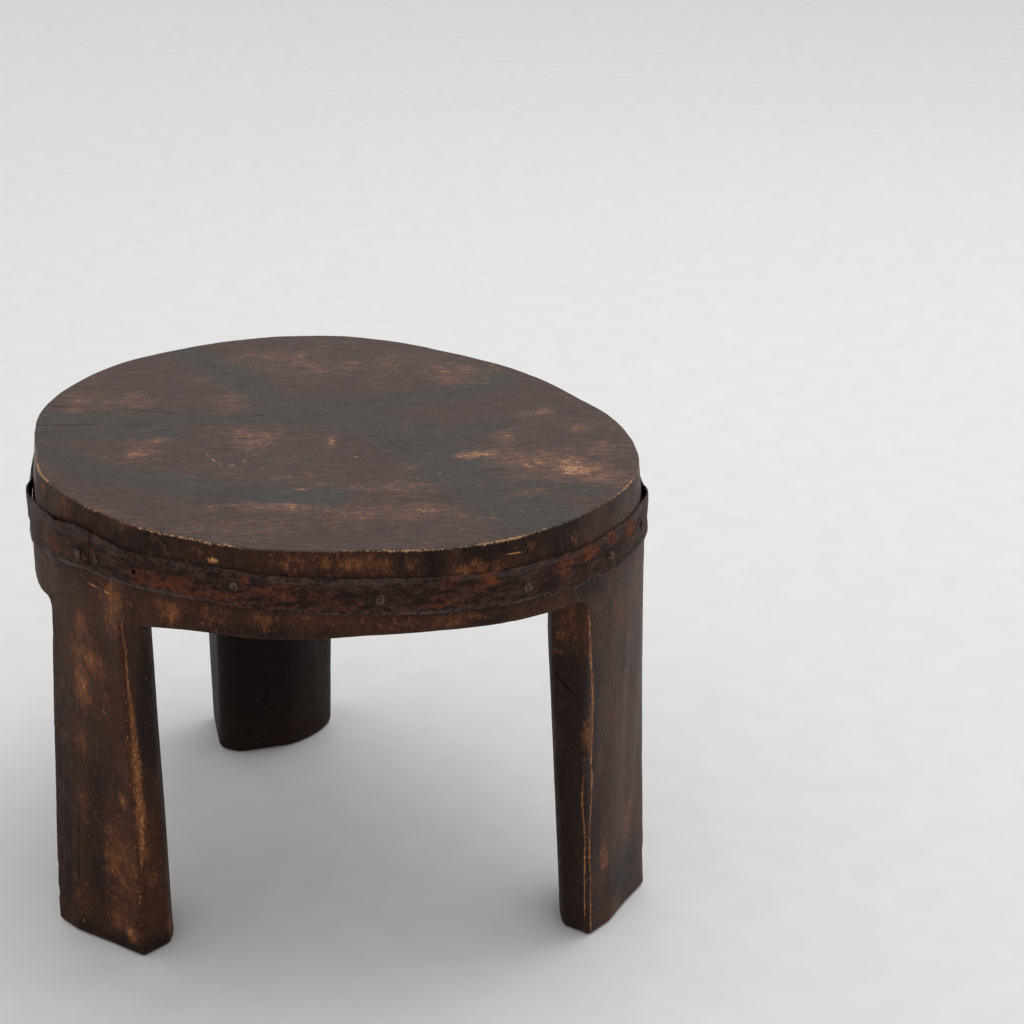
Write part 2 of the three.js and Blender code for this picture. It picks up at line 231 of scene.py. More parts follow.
def carved_skin():
    """The surface where carved_log is 0, as points and triangles. Every cell of the grid that the
    surface crosses gets one point, the mean of the crossings on its edges, and every grid edge
    that is crossed gets a face between the four cells round it. The cells at the axis are one."""
    turn = np.linspace(0, 2 * np.pi, TURNS, endpoint=False)
    reach = REACH_LINES[None, :] * rim_radius(np.degrees(turn))[:, None]
    shape = (TURNS, len(REACH_LINES), len(LEVELS))
    grid = np.empty(shape + (3,))
    grid[..., 0] = (reach * np.cos(turn)[:, None])[:, :, None]
    grid[..., 1] = (reach * np.sin(turn)[:, None])[:, :, None]
    grid[..., 2] = LEVELS
    field = carved_log(*np.moveaxis(grid, -1, 0))

    def cell(i, j, k):
        return (np.where(j < 0, 0, i % shape[0]) * (shape[1] + 1) + j + 1) * shape[2] + k

    faces, cells, crossings = [], [], []
    steps = np.eye(3, dtype=int)
    for axis, (first, second) in enumerate([(2, 1), (0, 2), (1, 0)]):
        ahead = np.roll(field, -1, axis=axis)
        crossed = (field < 0) != (ahead < 0)
        if axis:
            crossed[(slice(None),) * axis + (-1,)] = False
        at = np.argwhere(crossed)
        near, far = field[crossed], ahead[crossed]
        start = grid[crossed]
        end = np.roll(grid, -1, axis=axis)[crossed]
        point = start + (end - start) * (near / (near - far))[:, None]
        around = [at - steps[first] - steps[second], at - steps[second], at, at - steps[first]]
        ids = np.stack([cell(*place.T) for place in around], axis=1)
        cells.append(ids.ravel())
        crossings.append(np.repeat(point, 4, axis=0))
        faces.append(np.where((near < 0)[:, None], ids, ids[:, ::-1]))
    used, index = np.unique(np.concatenate(cells), return_inverse=True)
    crossings = np.concatenate(crossings)
    count = np.bincount(index)
    points = np.stack([np.bincount(index, weights=c) / count for c in crossings.T], axis=1)
    quads = np.searchsorted(used, np.concatenate(faces))
    a, b, c, d = (points[quads[:, k]] for k in range(4))
    short = np.linalg.norm(a - c, axis=1) <= np.linalg.norm(b - d, axis=1)
    halves = [np.where(short[:, None], quads[:, one], quads[:, other])
              for one, other in (([0, 1, 2], [0, 1, 3]), ([0, 2, 3], [1, 2, 3]))]
    triangles = np.concatenate(halves)
    whole = ((triangles[:, 0] != triangles[:, 1]) & (triangles[:, 1] != triangles[:, 2])
             & (triangles[:, 2] != triangles[:, 0]))
    return points, triangles[whole]


def outward(points, reach=0.3):
    """The field's rate of change at each point, by differences over a short reach each way."""
    steps = np.eye(3) * reach
    return np.stack([
        (carved_log(*(points + step).T) - carved_log(*(points - step).T)) / (2 * reach)
        for step in steps], axis=1)


def settle(points, passes=3, longest=1.5):
    """Moves points onto the surface, down the field's slope by its value, a little at a time."""
    for _ in range(passes):
        slope = outward(points)
        move = carved_log(*points.T) / np.maximum((slope ** 2).sum(1), LEAST_SLOPE_SQUARED)
        points = points - slope * np.clip(move, -longest, longest)[:, None]
    return points


# Large primes that scatter a place and a seed, and the bits of the mixed number that are read.
PLACE_PRIMES = np.array([73856093, 19349663, 83492791])
SEED_PRIME = 374761393
MIXING_PRIME = 1274126177
MIXED_BITS = 0x7FFFFFFF
READ_BITS = 0xFFFF


def noise(points, seed):
    """Smooth noise between -1 and 1: random values at whole numbers, each worked out from its
    place and the seed alone, joined by S curves."""
    base = np.floor(points).astype(np.int64)
    part = points - base
    part = part * part * (3 - 2 * part)
    total = np.zeros(len(points))
    for corner in np.ndindex(2, 2, 2):
        place = base + corner
        mixed = place @ PLACE_PRIMES + seed * SEED_PRIME
        mixed = (mixed ^ (mixed >> 13)) * MIXING_PRIME & MIXED_BITS
        value = ((mixed ^ (mixed >> 16)) & READ_BITS) / (READ_BITS / 2) - 1
        total += value * np.where(corner, part, 1 - part).prod(1)
    return total


# What the tools left: the depth of their strokes, a stroke's size along each axis, and a seed.
LONG_FLATS = [(0.55, (17, 17, 80), 1), (0.3, (9, 9, 45), 2)]
SLIGHT_WAVES = [(0.25, (45, 45, 45), 3), (0.12, (12, 12, 12), 4)]
FINE_MARKS = [(0.06, (4, 4, 6), 5)]
CHIP_SIZE = (7, 7, 9)
CHIP_SEED = 6
CHIP_FROM, CHIP_TO = 0.25, 0.7
CHIP_WEAR_FROM, CHIP_WEAR_TO = 0.1, 0.5
CHIP_DEPTH = 0.6
HOOP_BAND_FOOT, HOOP_BAND_TOP = (226, 232), (266, 270)
SOLE_FLAT_TO, SOLE_HEWN_FROM = 0.5, 8


def strokes(points, marks):
    """The sum of several noises at each point, each times its depth."""
    return sum(depth * noise(points / size, seed) for depth, size, seed in marks)


def wear(points):
    """How far an edge has worn down at each point: the rounded shape's distance less that of the
    sharp one, which is 0 away from edges."""
    return carved_log(*points.T) - carved_log(*points.T, worn=0.0)


def hewn(points):
    """Moves each point along its normal to where the tools left it: long upright flats on the
    wall and the legs, a slight waviness on the top, and a fine unevenness all over. Small chips
    are gone from the edges, and behind the hoop nothing stands proud."""
    slope = outward(points)
    normal = slope / np.linalg.norm(slope, axis=1, keepdims=True)
    upright = 1 - np.abs(normal[:, 2])
    away = upright * strokes(points, LONG_FLATS) + (1 - upright) * strokes(points, SLIGHT_WAVES)
    away = away + strokes(points, FINE_MARKS)
    chips = ramp(noise(points / CHIP_SIZE, CHIP_SEED), CHIP_FROM, CHIP_TO)
    away = away - CHIP_DEPTH * (chips * ramp(wear(points), CHIP_WEAR_FROM, CHIP_WEAR_TO))
    height = points[:, 2]
    behind_hoop = ramp(height, *HOOP_BAND_FOOT) * (1 - ramp(height, *HOOP_BAND_TOP)) * upright
    away = np.where(away > 0, away * (1 - behind_hoop), away)
    away = away * ramp(height, SOLE_FLAT_TO, SOLE_HEWN_FROM)
    return points + normal * away[:, None]


def in_scene(name, data):
    """A new object that holds the data, linked into the scene."""
    made = bpy.data.objects.new(name, data)
    bpy.context.scene.collection.objects.link(made)
    return made


def new_piece(name, points, faces):
    """A mesh object from points in millimetres round the seat's axis, and its faces."""
    mesh = bpy.data.meshes.new(name)
    placed = (np.asarray(points, float) + SEAT_AXIS) * MM
    sides = len(faces[0])
    mesh.vertices.add(len(placed))
    mesh.vertices.foreach_set("co", placed.astype(np.float32).ravel())
    mesh.loops.add(len(faces) * sides)
    mesh.loops.foreach_set("vertex_index", np.asarray(faces, np.int32).ravel())
    mesh.polygons.add(len(faces))
    mesh.polygons.foreach_set("loop_start", np.arange(0, len(faces) * sides, sides, dtype=np.int32))
    mesh.update(calc_edges=True)
    mesh.validate()
    mesh.shade_smooth()
    return in_scene(name, mesh)


def closed_skin(rings):
    """Points and triangles of a closed skin over rings of equally many points, each ring
    counterclockwise seen from the next one, with a fan from its middle closing each end."""
    count, sides = rings.shape[:2]
    points = np.concatenate([rings.reshape(-1, 3), rings[[0, -1]].mean(axis=1)])
    k = np.arange(sides)
    after = (k + 1) % sides
    start = np.arange(count - 1)[:, None] * sides
    a, b = start + k, start + after
    wall = [np.stack([a, b, b + sides], axis=-1), np.stack([a, b + sides, a + sides], axis=-1)]
    last = (count - 1) * sides
    fans = [np.stack([np.full(sides, count * sides), after, k], axis=-1),
            np.stack([np.full(sides, count * sides + 1), last + k, last + after], axis=-1)]
    return points, np.concatenate([wall[0].reshape(-1, 3), wall[1].reshape(-1, 3)] + fans)


def together(skins):
    """Several skins as one set of points and triangles."""
    starts = np.cumsum([0] + [len(points) for points, _ in skins])
    points = np.concatenate([points for points, _ in skins])
    faces = np.concatenate([faces + start for (_, faces), start in zip(skins, starts)])
    return points, faces


def cut(piece, skins):
    """Cuts closed skins out of a piece."""
    tool = new_piece("cutter", *together(skins))
    boolean = piece.modifiers.new("cut", "BOOLEAN")
    boolean.operation = "DIFFERENCE"
    boolean.solver = "MANIFOLD"
    boolean.object = tool
    before = piece.data
    graph = bpy.context.evaluated_depsgraph_get()
    piece.data = bpy.data.meshes.new_from_object(piece.evaluated_get(graph))
    piece.modifiers.clear()
    for left in (tool.data, before):
        bpy.data.meshes.remove(left)


# Drying cracks in the log: across the top, down the rim, and on two legs. Each is a row of
# points on the surface, and each opening has a half width and a depth.
CRACK_STEP = 1.5
CRACK_PROUD = 2.0
CRACK_BEND, CRACK_KINK = 9, 3
KINK_SHARE = 0.4
CRACK_WANDER = 0.7
OPEN_AT_START, OPEN_AT_END = 3, 1.5
SWELL = 14
LEAST_OPEN = 0.1
UNEVEN_OPENING = 0.35
TOP_CRACKS = [
    (0.45, 4.0, [(-181, 10), (-165, 11), (-150, 12), (-134, 12.5)]),
    (0.38, 4.0, [(-128, 12.5), (-112, 13.5), (-100, 15)]),
    (0.28, 3.0, [(-92, 14.5), (-75, 14), (-58, 13)]),
    (0.42, 4.0, [(-180, 47), (-168, 46), (-157, 44), (-142, 43)]),
    (0.32, 3.0, [(-136, 42), (-118, 39.5), (-100, 36), (-82, 32)]),
    (0.22, 3.0, [(-70, 30), (-55, 28), (-38, 34)]),
    (0.14, 3.0, [(0, 52), (40, 66), (68, 74), (96, 96)]),
    (0.15, 3.0, [(-98, 148), (-72, 116), (-50, 90)]),
    (0.12, 3.0, [(36, -8), (42, -20), (50, -30)]),
]
SIDE_CRACKS = [
    (0.4, 4.0, [(-7.2, -186.5, 275), (-7.0, -187, 271), (-7.4, -188, 265)]),
    (0.35, 4.0, [(69.5, -183, 276), (71, -184, 270), (70, -185, 264)]),
    (0.55, 5.0, [(137, -145.5, 277), (137.4, -146, 272), (137, -147, 266), (137.4, -147.5, 259)]),
    (1.1, 4.0, [(135.6, -111.7, 183.8), (138.5, -113.2, 177.6), (144.3, -116.8, 170.5),
                (149.4, -120.1, 165.9), (153.4, -122.9, 163.5)]),
    (0.4, 3.0, [(-137.8, -111.6, 90), (-138.4, -111.3, 70), (-139.2, -110.9, 57), (-140.2, -110.6, 43),
               (-140.7, -110.4, 28)]),
]


def crack(half_width, depth, path, seed):
    """A wedge carried along a wandering line on the surface: its half width swells from almost
    nothing at the ends, and it closes to nothing at its depth below the surface."""
    path = np.array(path, float)
    on_top = path.shape[1] == 2
    if on_top:
        path = np.column_stack([path, np.full(len(path), SEAT_TOP)])
    run = np.concatenate([[0], np.cumsum(np.linalg.norm(np.diff(path, axis=0), axis=1))])
    at = np.linspace(0, run[-1], int(run[-1] / CRACK_STEP) + 2)
    line = np.stack([np.interp(at, run, values) for values in path.T], axis=1)
    if on_top:
        normal = np.tile([0.0, 0.0, 1.0], (len(line), 1))
    else:
        line = settle(line, passes=6, longest=3)
        normal = outward(line)
        normal /= np.linalg.norm(normal, axis=1, keepdims=True)
    along = np.gradient(line, axis=0)
    across = np.cross(normal, along)
    across /= np.linalg.norm(across, axis=1, keepdims=True)
    place = np.column_stack([at, at, at * 0])
    wander = noise(place / CRACK_BEND, seed) + KINK_SHARE * noise(place / CRACK_KINK, seed + 50)
    line = line + across * wander[:, None] * CRACK_WANDER
    from_end = np.minimum(at + OPEN_AT_START, run[-1] - at + OPEN_AT_END)
    open_up = np.clip(from_end / SWELL, LEAST_OPEN, 1) * (1 + UNEVEN_OPENING * wander)
    half = (half_width * open_up * (1 + CRACK_PROUD / depth))[:, None]
    top = line + normal * CRACK_PROUD
    return closed_skin(np.stack([top - across * half, top + across * half, line - normal * depth], axis=1))


# The nails' holes, by bearing and by how far above the middle of the strap each nail was driven.
# They go through the hoop, square to its face, and on into the wood. The first two hold the
# strap's lap. One more nail was lost, and only its hole is left.
STRAP_END = 227.1
STRAP_LAP = 9.0
STRAP_CLIMB_END = 358.0
STRAP_CLIMB = 7.0
STRAP_THICKNESS = 1.8
STRAP_CLEARANCE = 0.35
STRAP_DROP = 27.0
STRAP_BOW = 2.5
STRAP_BOW_BEARING = 265
STAND_OFFS = [(192, 12.5, 1.6), (347, 8, 1.2)]
STAND_OFF_LEAN = 0.85
FRONT_NAILS = [
    (STRAP_END - 2.4, 0), (STRAP_END + 2.2, -1), (259.4, 3), (283.3, -1.5), (306.7, -2), (325.8, -2)]
BACK_NAILS = [(bearing, 0) for bearing in np.linspace(339.5, 525, 10)]
NAILS = FRONT_NAILS + BACK_NAILS
LOST_NAIL = (239.4, 0.5)
HOLE_RADIUS = 1.6
HOLE_DEPTH = 21.0
HOLE_MOUTH = 8.0
HOLE_SIDES = 14
LEAST_FACING = 0.5
WALL_LEAN = RIM_FLARE / (RIM_FLARE_TOP - RIM_FLARE_FOOT)


def taut_radius(bearing):
    """The radius of a strap pulled tight round the rim. Each direction has a line that just
    touches the rim, and the strap runs as far out as the nearest of those lines lets it."""
    turn = np.radians(np.arange(0, 360, 0.5))
    facing = np.cos(turn[:, None] - turn[None, :])
    reach = (rim_radius(np.degrees(turn))[None, :] * facing).max(axis=1)
    lines = reach[None, :] / np.maximum(facing, LEAST_FACING)
    hull = np.where(facing > LEAST_FACING, lines, np.inf).min(axis=1)
    return periodic(np.column_stack([np.degrees(turn), hull]), bearing, 1.0)


def rim_frame(bearing):
    """Points on the strap's line round the rim at height 0, and the directions outwards."""
    def at(degrees):
        turn = np.radians(degrees)
        return taut_radius(degrees)[..., None] * np.stack([np.cos(turn), np.sin(turn), 0 * turn], axis=-1)
    along = at(bearing + 0.5) - at(bearing - 0.5)
    along /= np.linalg.norm(along, axis=-1, keepdims=True)
    return at(bearing), np.stack([along[..., 1], -along[..., 0], 0 * along[..., 0]], axis=-1)


def strap_middle(bearing):
    """Height of the strap's middle line, which bows up and down twice in a turn."""
    return SEAT_TOP - STRAP_DROP + STRAP_BOW * np.cos(2 * np.radians(bearing - STRAP_BOW_BEARING))


def bump(bearing, middle, reach):
    """A cosine bump, 1 at its middle and 0 from its reach outwards."""
    away = np.abs((bearing - middle + 180) % 360 - 180)
    return (1 + np.cos(np.pi * np.clip(away / reach, 0, 1))) / 2


def strap_rise(bearing, across=0.0):
    """How far the strap stands off the wood: a cosine bump at each loose place, which leans out at
    the top, and one thickness where its last stretch climbs over the first."""
    off = 0 * across
    for place, reach, height in STAND_OFFS:
        off = off + height * bump(bearing, place, reach)
    start = STRAP_END - STRAP_LAP
    climb = ramp(bearing, start + STRAP_CLIMB_END - STRAP_CLIMB, start + STRAP_CLIMB_END)
    return off * (1 + STAND_OFF_LEAN * across) + climb * (STRAP_THICKNESS + STRAP_CLEARANCE)


def wall_flare(z):
    """How far the rim's flare carries the wall outwards at a height."""
    return WALL_LEAN * np.clip(RIM_FLARE_TOP - z, 0, RIM_FLARE_TOP - RIM_FLARE_FOOT)


def nail_seat(bearing, rise):
    """Where a nail's head bears on the strap, how far that is outside the rim's line, and the
    directions out of the strap's face, sideways and up along it. The face leans as the wall does."""
    bearing = np.array([float(bearing)])
    base, level_out = rim_frame(bearing)
    z = strap_middle(bearing)[0] + rise
    lapped = STRAP_END - STRAP_LAP <= bearing[0] <= STRAP_END
    face = wall_flare(z) + STRAP_CLEARANCE + strap_rise(bearing[0] + 360 * lapped) + STRAP_THICKNESS
    out = level_out[0] + [0, 0, WALL_LEAN]
    out /= np.linalg.norm(out)
    side = np.cross([0.0, 0.0, 1.0], level_out[0])
    return base[0] + level_out[0] * face + [0, 0, z], face, out, side, np.cross(out, side)


def nail_hole(bearing, rise):
    """A round pin through the strap, from outside it to past the nail's point."""
    seat, face, out, side, up = nail_seat(bearing, rise)
    turn = np.linspace(0, 2 * np.pi, HOLE_SIDES, endpoint=False)[:, None]
    circle = HOLE_RADIUS * (np.cos(turn) * side + np.sin(turn) * up)
    inner, outer = seat - out * (face + HOLE_DEPTH), seat + out * HOLE_MOUTH
    return closed_skin(np.stack([inner + circle, outer + circle]))


body_points, body_faces = carved_skin()
body_points = hewn(settle(body_points))
wooden_body = new_piece("carved_body", body_points, body_faces)
holes = [nail_hole(*nail) for nail in NAILS + [LOST_NAIL]]
cracks = [crack(*size, seed=10 + k) for k, size in enumerate(TOP_CRACKS + SIDE_CRACKS)]
cut(wooden_body, holes)
cut(wooden_body, cracks)
wooden_body.data.shade_smooth()
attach(wooden_body, "root")
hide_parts("stool_body")


# The finish of the wood: a thin dark stain, waxed, on a warm brown hardwood. Hands and feet have
# rubbed it through in patches and along the edges, down to bare wood in the sharpest places.
# Painted shade darkens the back leg, the legs' side faces and the insides of the cracks.
PITH = (0.0, 46.0)
# Rubbed marks on the top: middle, half length, half width, turn in degrees, strength.
TOP_RUBBED = [
    (-106, -37, 9, 8, 30, 1.0), (-101, -16, 11, 9, 0, 0.55), (-79, -25, 8, 8, 0, 0.5),
    (-45, -4, 15, 19, 0, 0.6), (-159, 40, 5, 7, 0, 0.8), (-61, 63, 15, 15, 0, 0.5),
    (-125, 58, 18, 13, 0, 0.45), (-156, 61, 11, 11, 20, 0.45), (-73, 144, 8, 11, 0, 0.5),
    (-48, 153, 20, 10, 0, 0.4), (-19, -120, 24, 6, 0, 0.7), (38, -128, 34, 11, 5, 0.55),
    (67, -121, 10, 8, 20, 0.75), (5, -15, 2.2, 10, 0, 0.8), (-5, -93, 5, 1.6, 0, 0.9),
    (-105, -132, 12, 4, -25, 0.5), (91, -34, 16, 6, 8, 1.05), (126, -44, 24, 14, 15, 0.75),
    (150, -56, 18, 16, 30, 0.85), (164, -70, 13, 13, 30, 0.75), (121, -96, 20, 7, 28, 0.75),
    (128, -66, 32, 24, 30, 0.5), (73, 105, 17, 8, -20, 0.65), (67, 128, 17, 14, 0, 0.42),
    (132, 46, 5, 7, 0, 0.85), (122, 42, 8, 5, 0, 0.5), (153, 15, 4, 8, 0, 0.6),
    (109, 2, 10, 11, 0, 0.5), (163, -25, 8, 11, 0, 0.6), (48, 20, 9, 9, 0, 0.42),
    (55, -55, 10, 6, 20, 0.6), (0, 130, 60, 25, 0, 0.28), (-120, -50, 30, 16, -20, 0.35),
    (30, -90, 50, 14, 5, 0.3), (-40, -150, 60, 10, 5, 0.3), (100, -140, 30, 8, 40, 0.25),
]
# Stained arms of the heartwood on the top: half width, then points from the pith outwards.
TOP_STAINED = [
    (26, [(0, 50), (40, 8), (62, -22), (90, -75), (112, -112), (132, -142)]),
    (15, [(0, 50), (-28, 34), (-50, 80), (-73, 119), (-104, 158)]),
    (14, [(0, 50), (35, 62), (69, 72), (104, 106)]),
    (9, [(-30, 24), (-90, 26), (-140, 24), (-178, 28)]),
    (13, [(-178, 0), (-148, -4), (-120, 2), (-95, 0)]),
    (15, [(-162, -32), (-148, -46), (-120, -72), (-94, -80), (-60, -95), (-20, -104), (10, -104)]),
    (24, [(-25, 36), (0, 46), (20, 30)]),
    (13, [(100, 20), (72, -5), (60, 10)]),
    (9, [(120, -80), (140, -88), (160, -92)]),
]
# Rubbed marks on the sides: point, half width round the piece, half height, strength.
SIDE_RUBBED = [
    (-131, -119, 169, 7, 13, 1.1), (-127, -123, 186, 14, 9, 0.95), (-134, -116, 132, 6, 9, 0.75),
    (-108, -141, 220, 6, 9, 0.75), (-70, -167, 235, 5, 6, 0.95), (-78, -163, 238, 4, 4, 0.7),
    (-115, -134, 162, 4, 12, 0.5), (-112, -134, 61, 13, 24, 0.75), (-116, -129, 22, 9, 13, 0.75),
    (-135, -115, 89, 8, 11, 0.5), (-140, -111, 26, 6, 10, 0.55), (-108, -136, 13, 5, 6, 0.95),
    (-90, -122, 10, 4, 7, 0.8), (-95, -132, 49, 4, 5, 0.7), (-106, -142, 231, 10, 12, 0.65),
    (-129, -121, 203, 9, 13, 0.7), (-108.6, -138, 102, 2.6, 4.6, 1.1), (-104, -140, 128, 6, 16, 0.45),
    (147, -122, 207, 10, 13, 0.72), (182, -77, 58, 8, 12, 0.62), (169, -104, 49, 5, 13, 0.62),
    (176, -90, 8, 7, 8, 0.6), (185.7, -70, 66, 2, 6, 0.75), (174, -100, 206, 9, 10, 0.42),
    (167.6, -112.6, 228, 3, 4, 0.6), (157, -122, 146, 4.5, 22, 0.9), (155, -117, 60, 4, 30, 0.55),
    (170, -105, 150, 12, 30, 0.3), (180, -85, 120, 10, 30, 0.25),
    (-154, -76, 272, 5, 4, 0.9), (-138, -105, 273, 8, 4, 0.8), (-99, -144, 275, 4, 3, 0.9),
    (-140, -100, 268, 16, 6, 0.55), (4, -187, 272, 22, 6, 0.6), (39, -189, 270, 24, 7, 0.78),
    (-60, -169, 270, 30, 6, 0.4), (87, -179, 264, 13, 4, 0.85), (106, -170, 264, 3, 5, 0.9),
    (148, -136, 267, 6, 4, 0.7), (120, -161, 272, 14, 5, 0.4), (-20, -185, 239, 6, 5, 0.65),
    (9, -190, 241, 14, 5, 0.5), (90, -179, 238, 16, 3, 0.6), (-46, -175, 236, 14, 6, 0.45),
    (40, -189, 236, 20, 5, 0.35), (160, -120, 265, 10, 6, 0.45), (175, -95, 262, 8, 7, 0.4),
]
# Dark marks on the sides: point, half width round the piece, half height, strength. Those on the legs' side
# faces, the band at the front left foot and the large one over the back leg are painted shade; the others are
# stain.
SIDE_STAIN_AND_SHADE = [
    (-96, -125, 150, 9, 34, 1.0), (-92, -120, 100, 6, 40, 0.6), (-150, -98, 60, 9, 60, 0.8),
    (-118, -128, 4, 30, 6, 0.7), (-124, -124, 100, 8, 40, 0.3), (-128, -122, 52, 7, 40, 0.5),
    (150, -120, 150, 12, 40, 0.95), (150, -112, 70, 12, 80, 0.9), (181, -80, 25, 14, 13, 0.9),
    (135, -110, 150, 6, 60, 0.4), (72, -183, 270, 4, 9, 0.95), (55, -187, 272, 7, 8, 0.5),
    (110, -168, 276, 16, 5, 0.7), (140, -142, 272, 10, 8, 0.7), (-100, -143, 266, 14, 5, 0.5),
    (-80, -159, 272, 16, 5, 0.35), (-10, -187, 231, 40, 5, 0.5), (155, -125, 236, 12, 8, 0.7),
    (100, -174, 236, 8, 8, 0.6), (20, -189, 252, 60, 6, 0.5), (-60, 120, 110, 70, 140, 1.4),
    (177, -93, 185, 1.6, 5, 1.0), (178, -91, 171, 1.6, 5, 0.9),
]
# Bearings round the top edge, and how far it is worn to bare wood there.
EDGE_BARE = np.array([
    (185, 0.6), (190, 1.5), (196, 1.3), (200, 1.8), (207, 1.8), (210, 1.2), (214, 0.7), (222, 0.6),
    (226, 1.4), (230, 0.5), (236, 0.6), (240, 1.0), (249, 1.15), (258, 1.1), (262, 0.8), (266, 0.3),
    (276, 0.4), (282, 1.0), (290, 1.3), (294, 0.7), (297, 1.1), (305, 1.5), (312, 1.1), (316, 0.4),
    (325, 0.8), (334, 1.2), (345, 1.0), (355, 1.0), (10, 0.5), (60, 0.3), (120, 0.3), (160, 0.4)])
# Corners of the front legs that are worn to bare wood, as half width and points from top to foot.
WORN_CORNERS = [
    [(0.5, -102.6, -145.6, 218), (0.7, -100.4, -147.2, 200), (0.9, -99.8, -147.4, 178),
     (1.6, -98.8, -145.8, 157), (2.6, -98.8, -144.0, 136), (3.2, -98.6, -142.0, 110),
     (3.2, -98.2, -141.2, 92), (2.2, -98.0, -142.0, 76), (0.5, -99.0, -143.2, 60)],
    [(0.5, 156.0, -129.0, 218), (0.6, 157.0, -128.7, 205), (0.7, 157.7, -127.4, 192),
     (0.9, 159.0, -124.7, 175), (0.9, 160.0, -123.0, 160), (0.7, 160.2, -122.1, 145),
     (0.7, 160.2, -121.4, 122), (0.8, 161.2, -119.4, 107), (0.4, 161, -119, 92), (0.5, 160.4, -118.5, 76),
     (0.6, 160.3, -116.4, 56), (0.3, 161, -114, 40), (0.4, 161.2, -112.6, 22), (0.6, 161.7, -111.8, 4)],
    [(0.2, 154.5, -117.0, 116), (0.5, 153.6, -115.5, 99), (0.4, 156.6, -115.2, 68),
     (0.5, 156.8, -112.6, 40), (0.3, 158, -112, 12)],
]
# The level direction across each of those corners.
CORNER_ACROSS = [(0.95, 0.31), (0.97, 0.24), (0.97, 0.24)]
CORNER_REACH = 25
BLOT_FALL = 0.6
ARM_CORE, ARM_EDGE = 0.35, 1.5
TOP_FROM, TOP_FULLY = 1.0, 0.45
FIRST_DEEP, FULLY_DEEP = 1.1, 2.0
EDGE_REACH = 2.0
LOW_EDGE_BARE = 0.25
LOW_EDGE_WEAR = 0.35


def blots(points, marks):
    """The strongest of several soft marks at each point. A mark's strength falls as a bell of the
    distance from its middle, counted in its half sizes."""
    value = np.zeros(len(points))
    for *middle, wide, high, strength in marks:
        away = points - middle
        share = (away[:, 0] ** 2 + away[:, 1] ** 2) / wide ** 2 + away[:, 2] ** 2 / high ** 2
        value = np.maximum(value, strength * np.exp(-BLOT_FALL * share))
    return value


def top_blots(points, marks):
    """The same for turned ovals on the top."""
    value = np.zeros(len(points))
    for x, y, length, width, turn, strength in marks:
        c, s = np.cos(np.radians(turn)), np.sin(np.radians(turn))
        u, v = points[:, 0] - x, points[:, 1] - y
        share = ((u * c + v * s) / length) ** 2 + ((v * c - u * s) / width) ** 2
        value = np.maximum(value, strength * np.exp(-BLOT_FALL * share))
    return value


def arms(points, lines):
    """How far each point lies inside bands along broken lines, from 1 in the middle to 0."""
    value = np.zeros(len(points))
    for width, line in lines:
        line = np.array(line, float)
        for start, end in zip(line[:-1], line[1:]):
            along = end - start
            share = np.clip(((points[:, :2] - start) @ along) / (along @ along), 0, 1)
            away = np.linalg.norm(points[:, :2] - start - share[:, None] * along, axis=1)
            value = np.maximum(value, 1 - ramp(away / width, ARM_CORE, ARM_EDGE))
    return value


def corner_place(points, line, across):
    """Sideways distance from a worn corner's line at the point's height, in its half widths. Past
    the line's ends and far from the corner it only grows."""
    width, x, y, z = np.array(line)[::-1].T
    height = points[:, 2]
    off = ((points[:, 0] - np.interp(height, z, x)) * across[0]
           + (points[:, 1] - np.interp(height, z, y)) * across[1])
    beyond = np.maximum(np.hypot(points[:, 0] - x.mean(), points[:, 1] - y.mean()) - CORNER_REACH, 0)
    beyond = beyond + np.maximum(height - z.max(), 0) + np.maximum(z.min() - height, 0)
    return np.where(off < 0, off - beyond, off + beyond) / np.interp(height, z, width)


def keep(piece, name, values):
    """Stores numbers on a piece's points, for its material: one or three for each point."""
    kind = "FLOAT" if values.ndim == 1 else "FLOAT_VECTOR"
    attribute = piece.data.attributes.new(name, kind, "POINT")
    attribute.data.foreach_set("value" if values.ndim == 1 else "vector", values.astype(np.float32).ravel())


def points_of(piece):
    """A piece's points, in millimetres round the seat's axis."""
    places = np.empty(len(piece.data.vertices) * 3, np.float32)
    piece.data.vertices.foreach_get("co", places)
    return places.reshape(-1, 3) / MM - SEAT_AXIS


skin = points_of(wooden_body)
depth = carved_log(*skin.T)
on_top = ramp(skin[:, 2], SEAT_TOP - TOP_FROM, SEAT_TOP - TOP_FULLY)
bearings = np.degrees(np.arctan2(skin[:, 1], skin[:, 0]))
below_top = np.hypot(SEAT_TOP - skin[:, 2], np.minimum(log_wall(*skin.T), 0))
top_edge = 1 - np.clip(below_top / EDGE_REACH, 0, 1)
low_edge = LOW_EDGE_BARE * np.clip(wear(skin) / LOW_EDGE_WEAR, 0, 1)
low_edge = low_edge * (skin[:, 2] < SEAT_TOP - EDGE_REACH)
mostly_top = on_top > 0.5
keep(wooden_body, "on_top", on_top)
keep(wooden_body, "deep", ramp(-depth, FIRST_DEEP, FULLY_DEEP))
keep(wooden_body, "rubbed", np.where(mostly_top, top_blots(skin, TOP_RUBBED), blots(skin, SIDE_RUBBED)))
keep(wooden_body, "stained", np.where(mostly_top, arms(skin, TOP_STAINED), blots(skin, SIDE_STAIN_AND_SHADE)))
keep(wooden_body, "edge", top_edge * periodic(EDGE_BARE, bearings, 1.0) + low_edge)
keep(wooden_body, "corners", np.stack([
    corner_place(skin, line, across) for line, across in zip(WORN_CORNERS, CORNER_ACROSS)], axis=1))


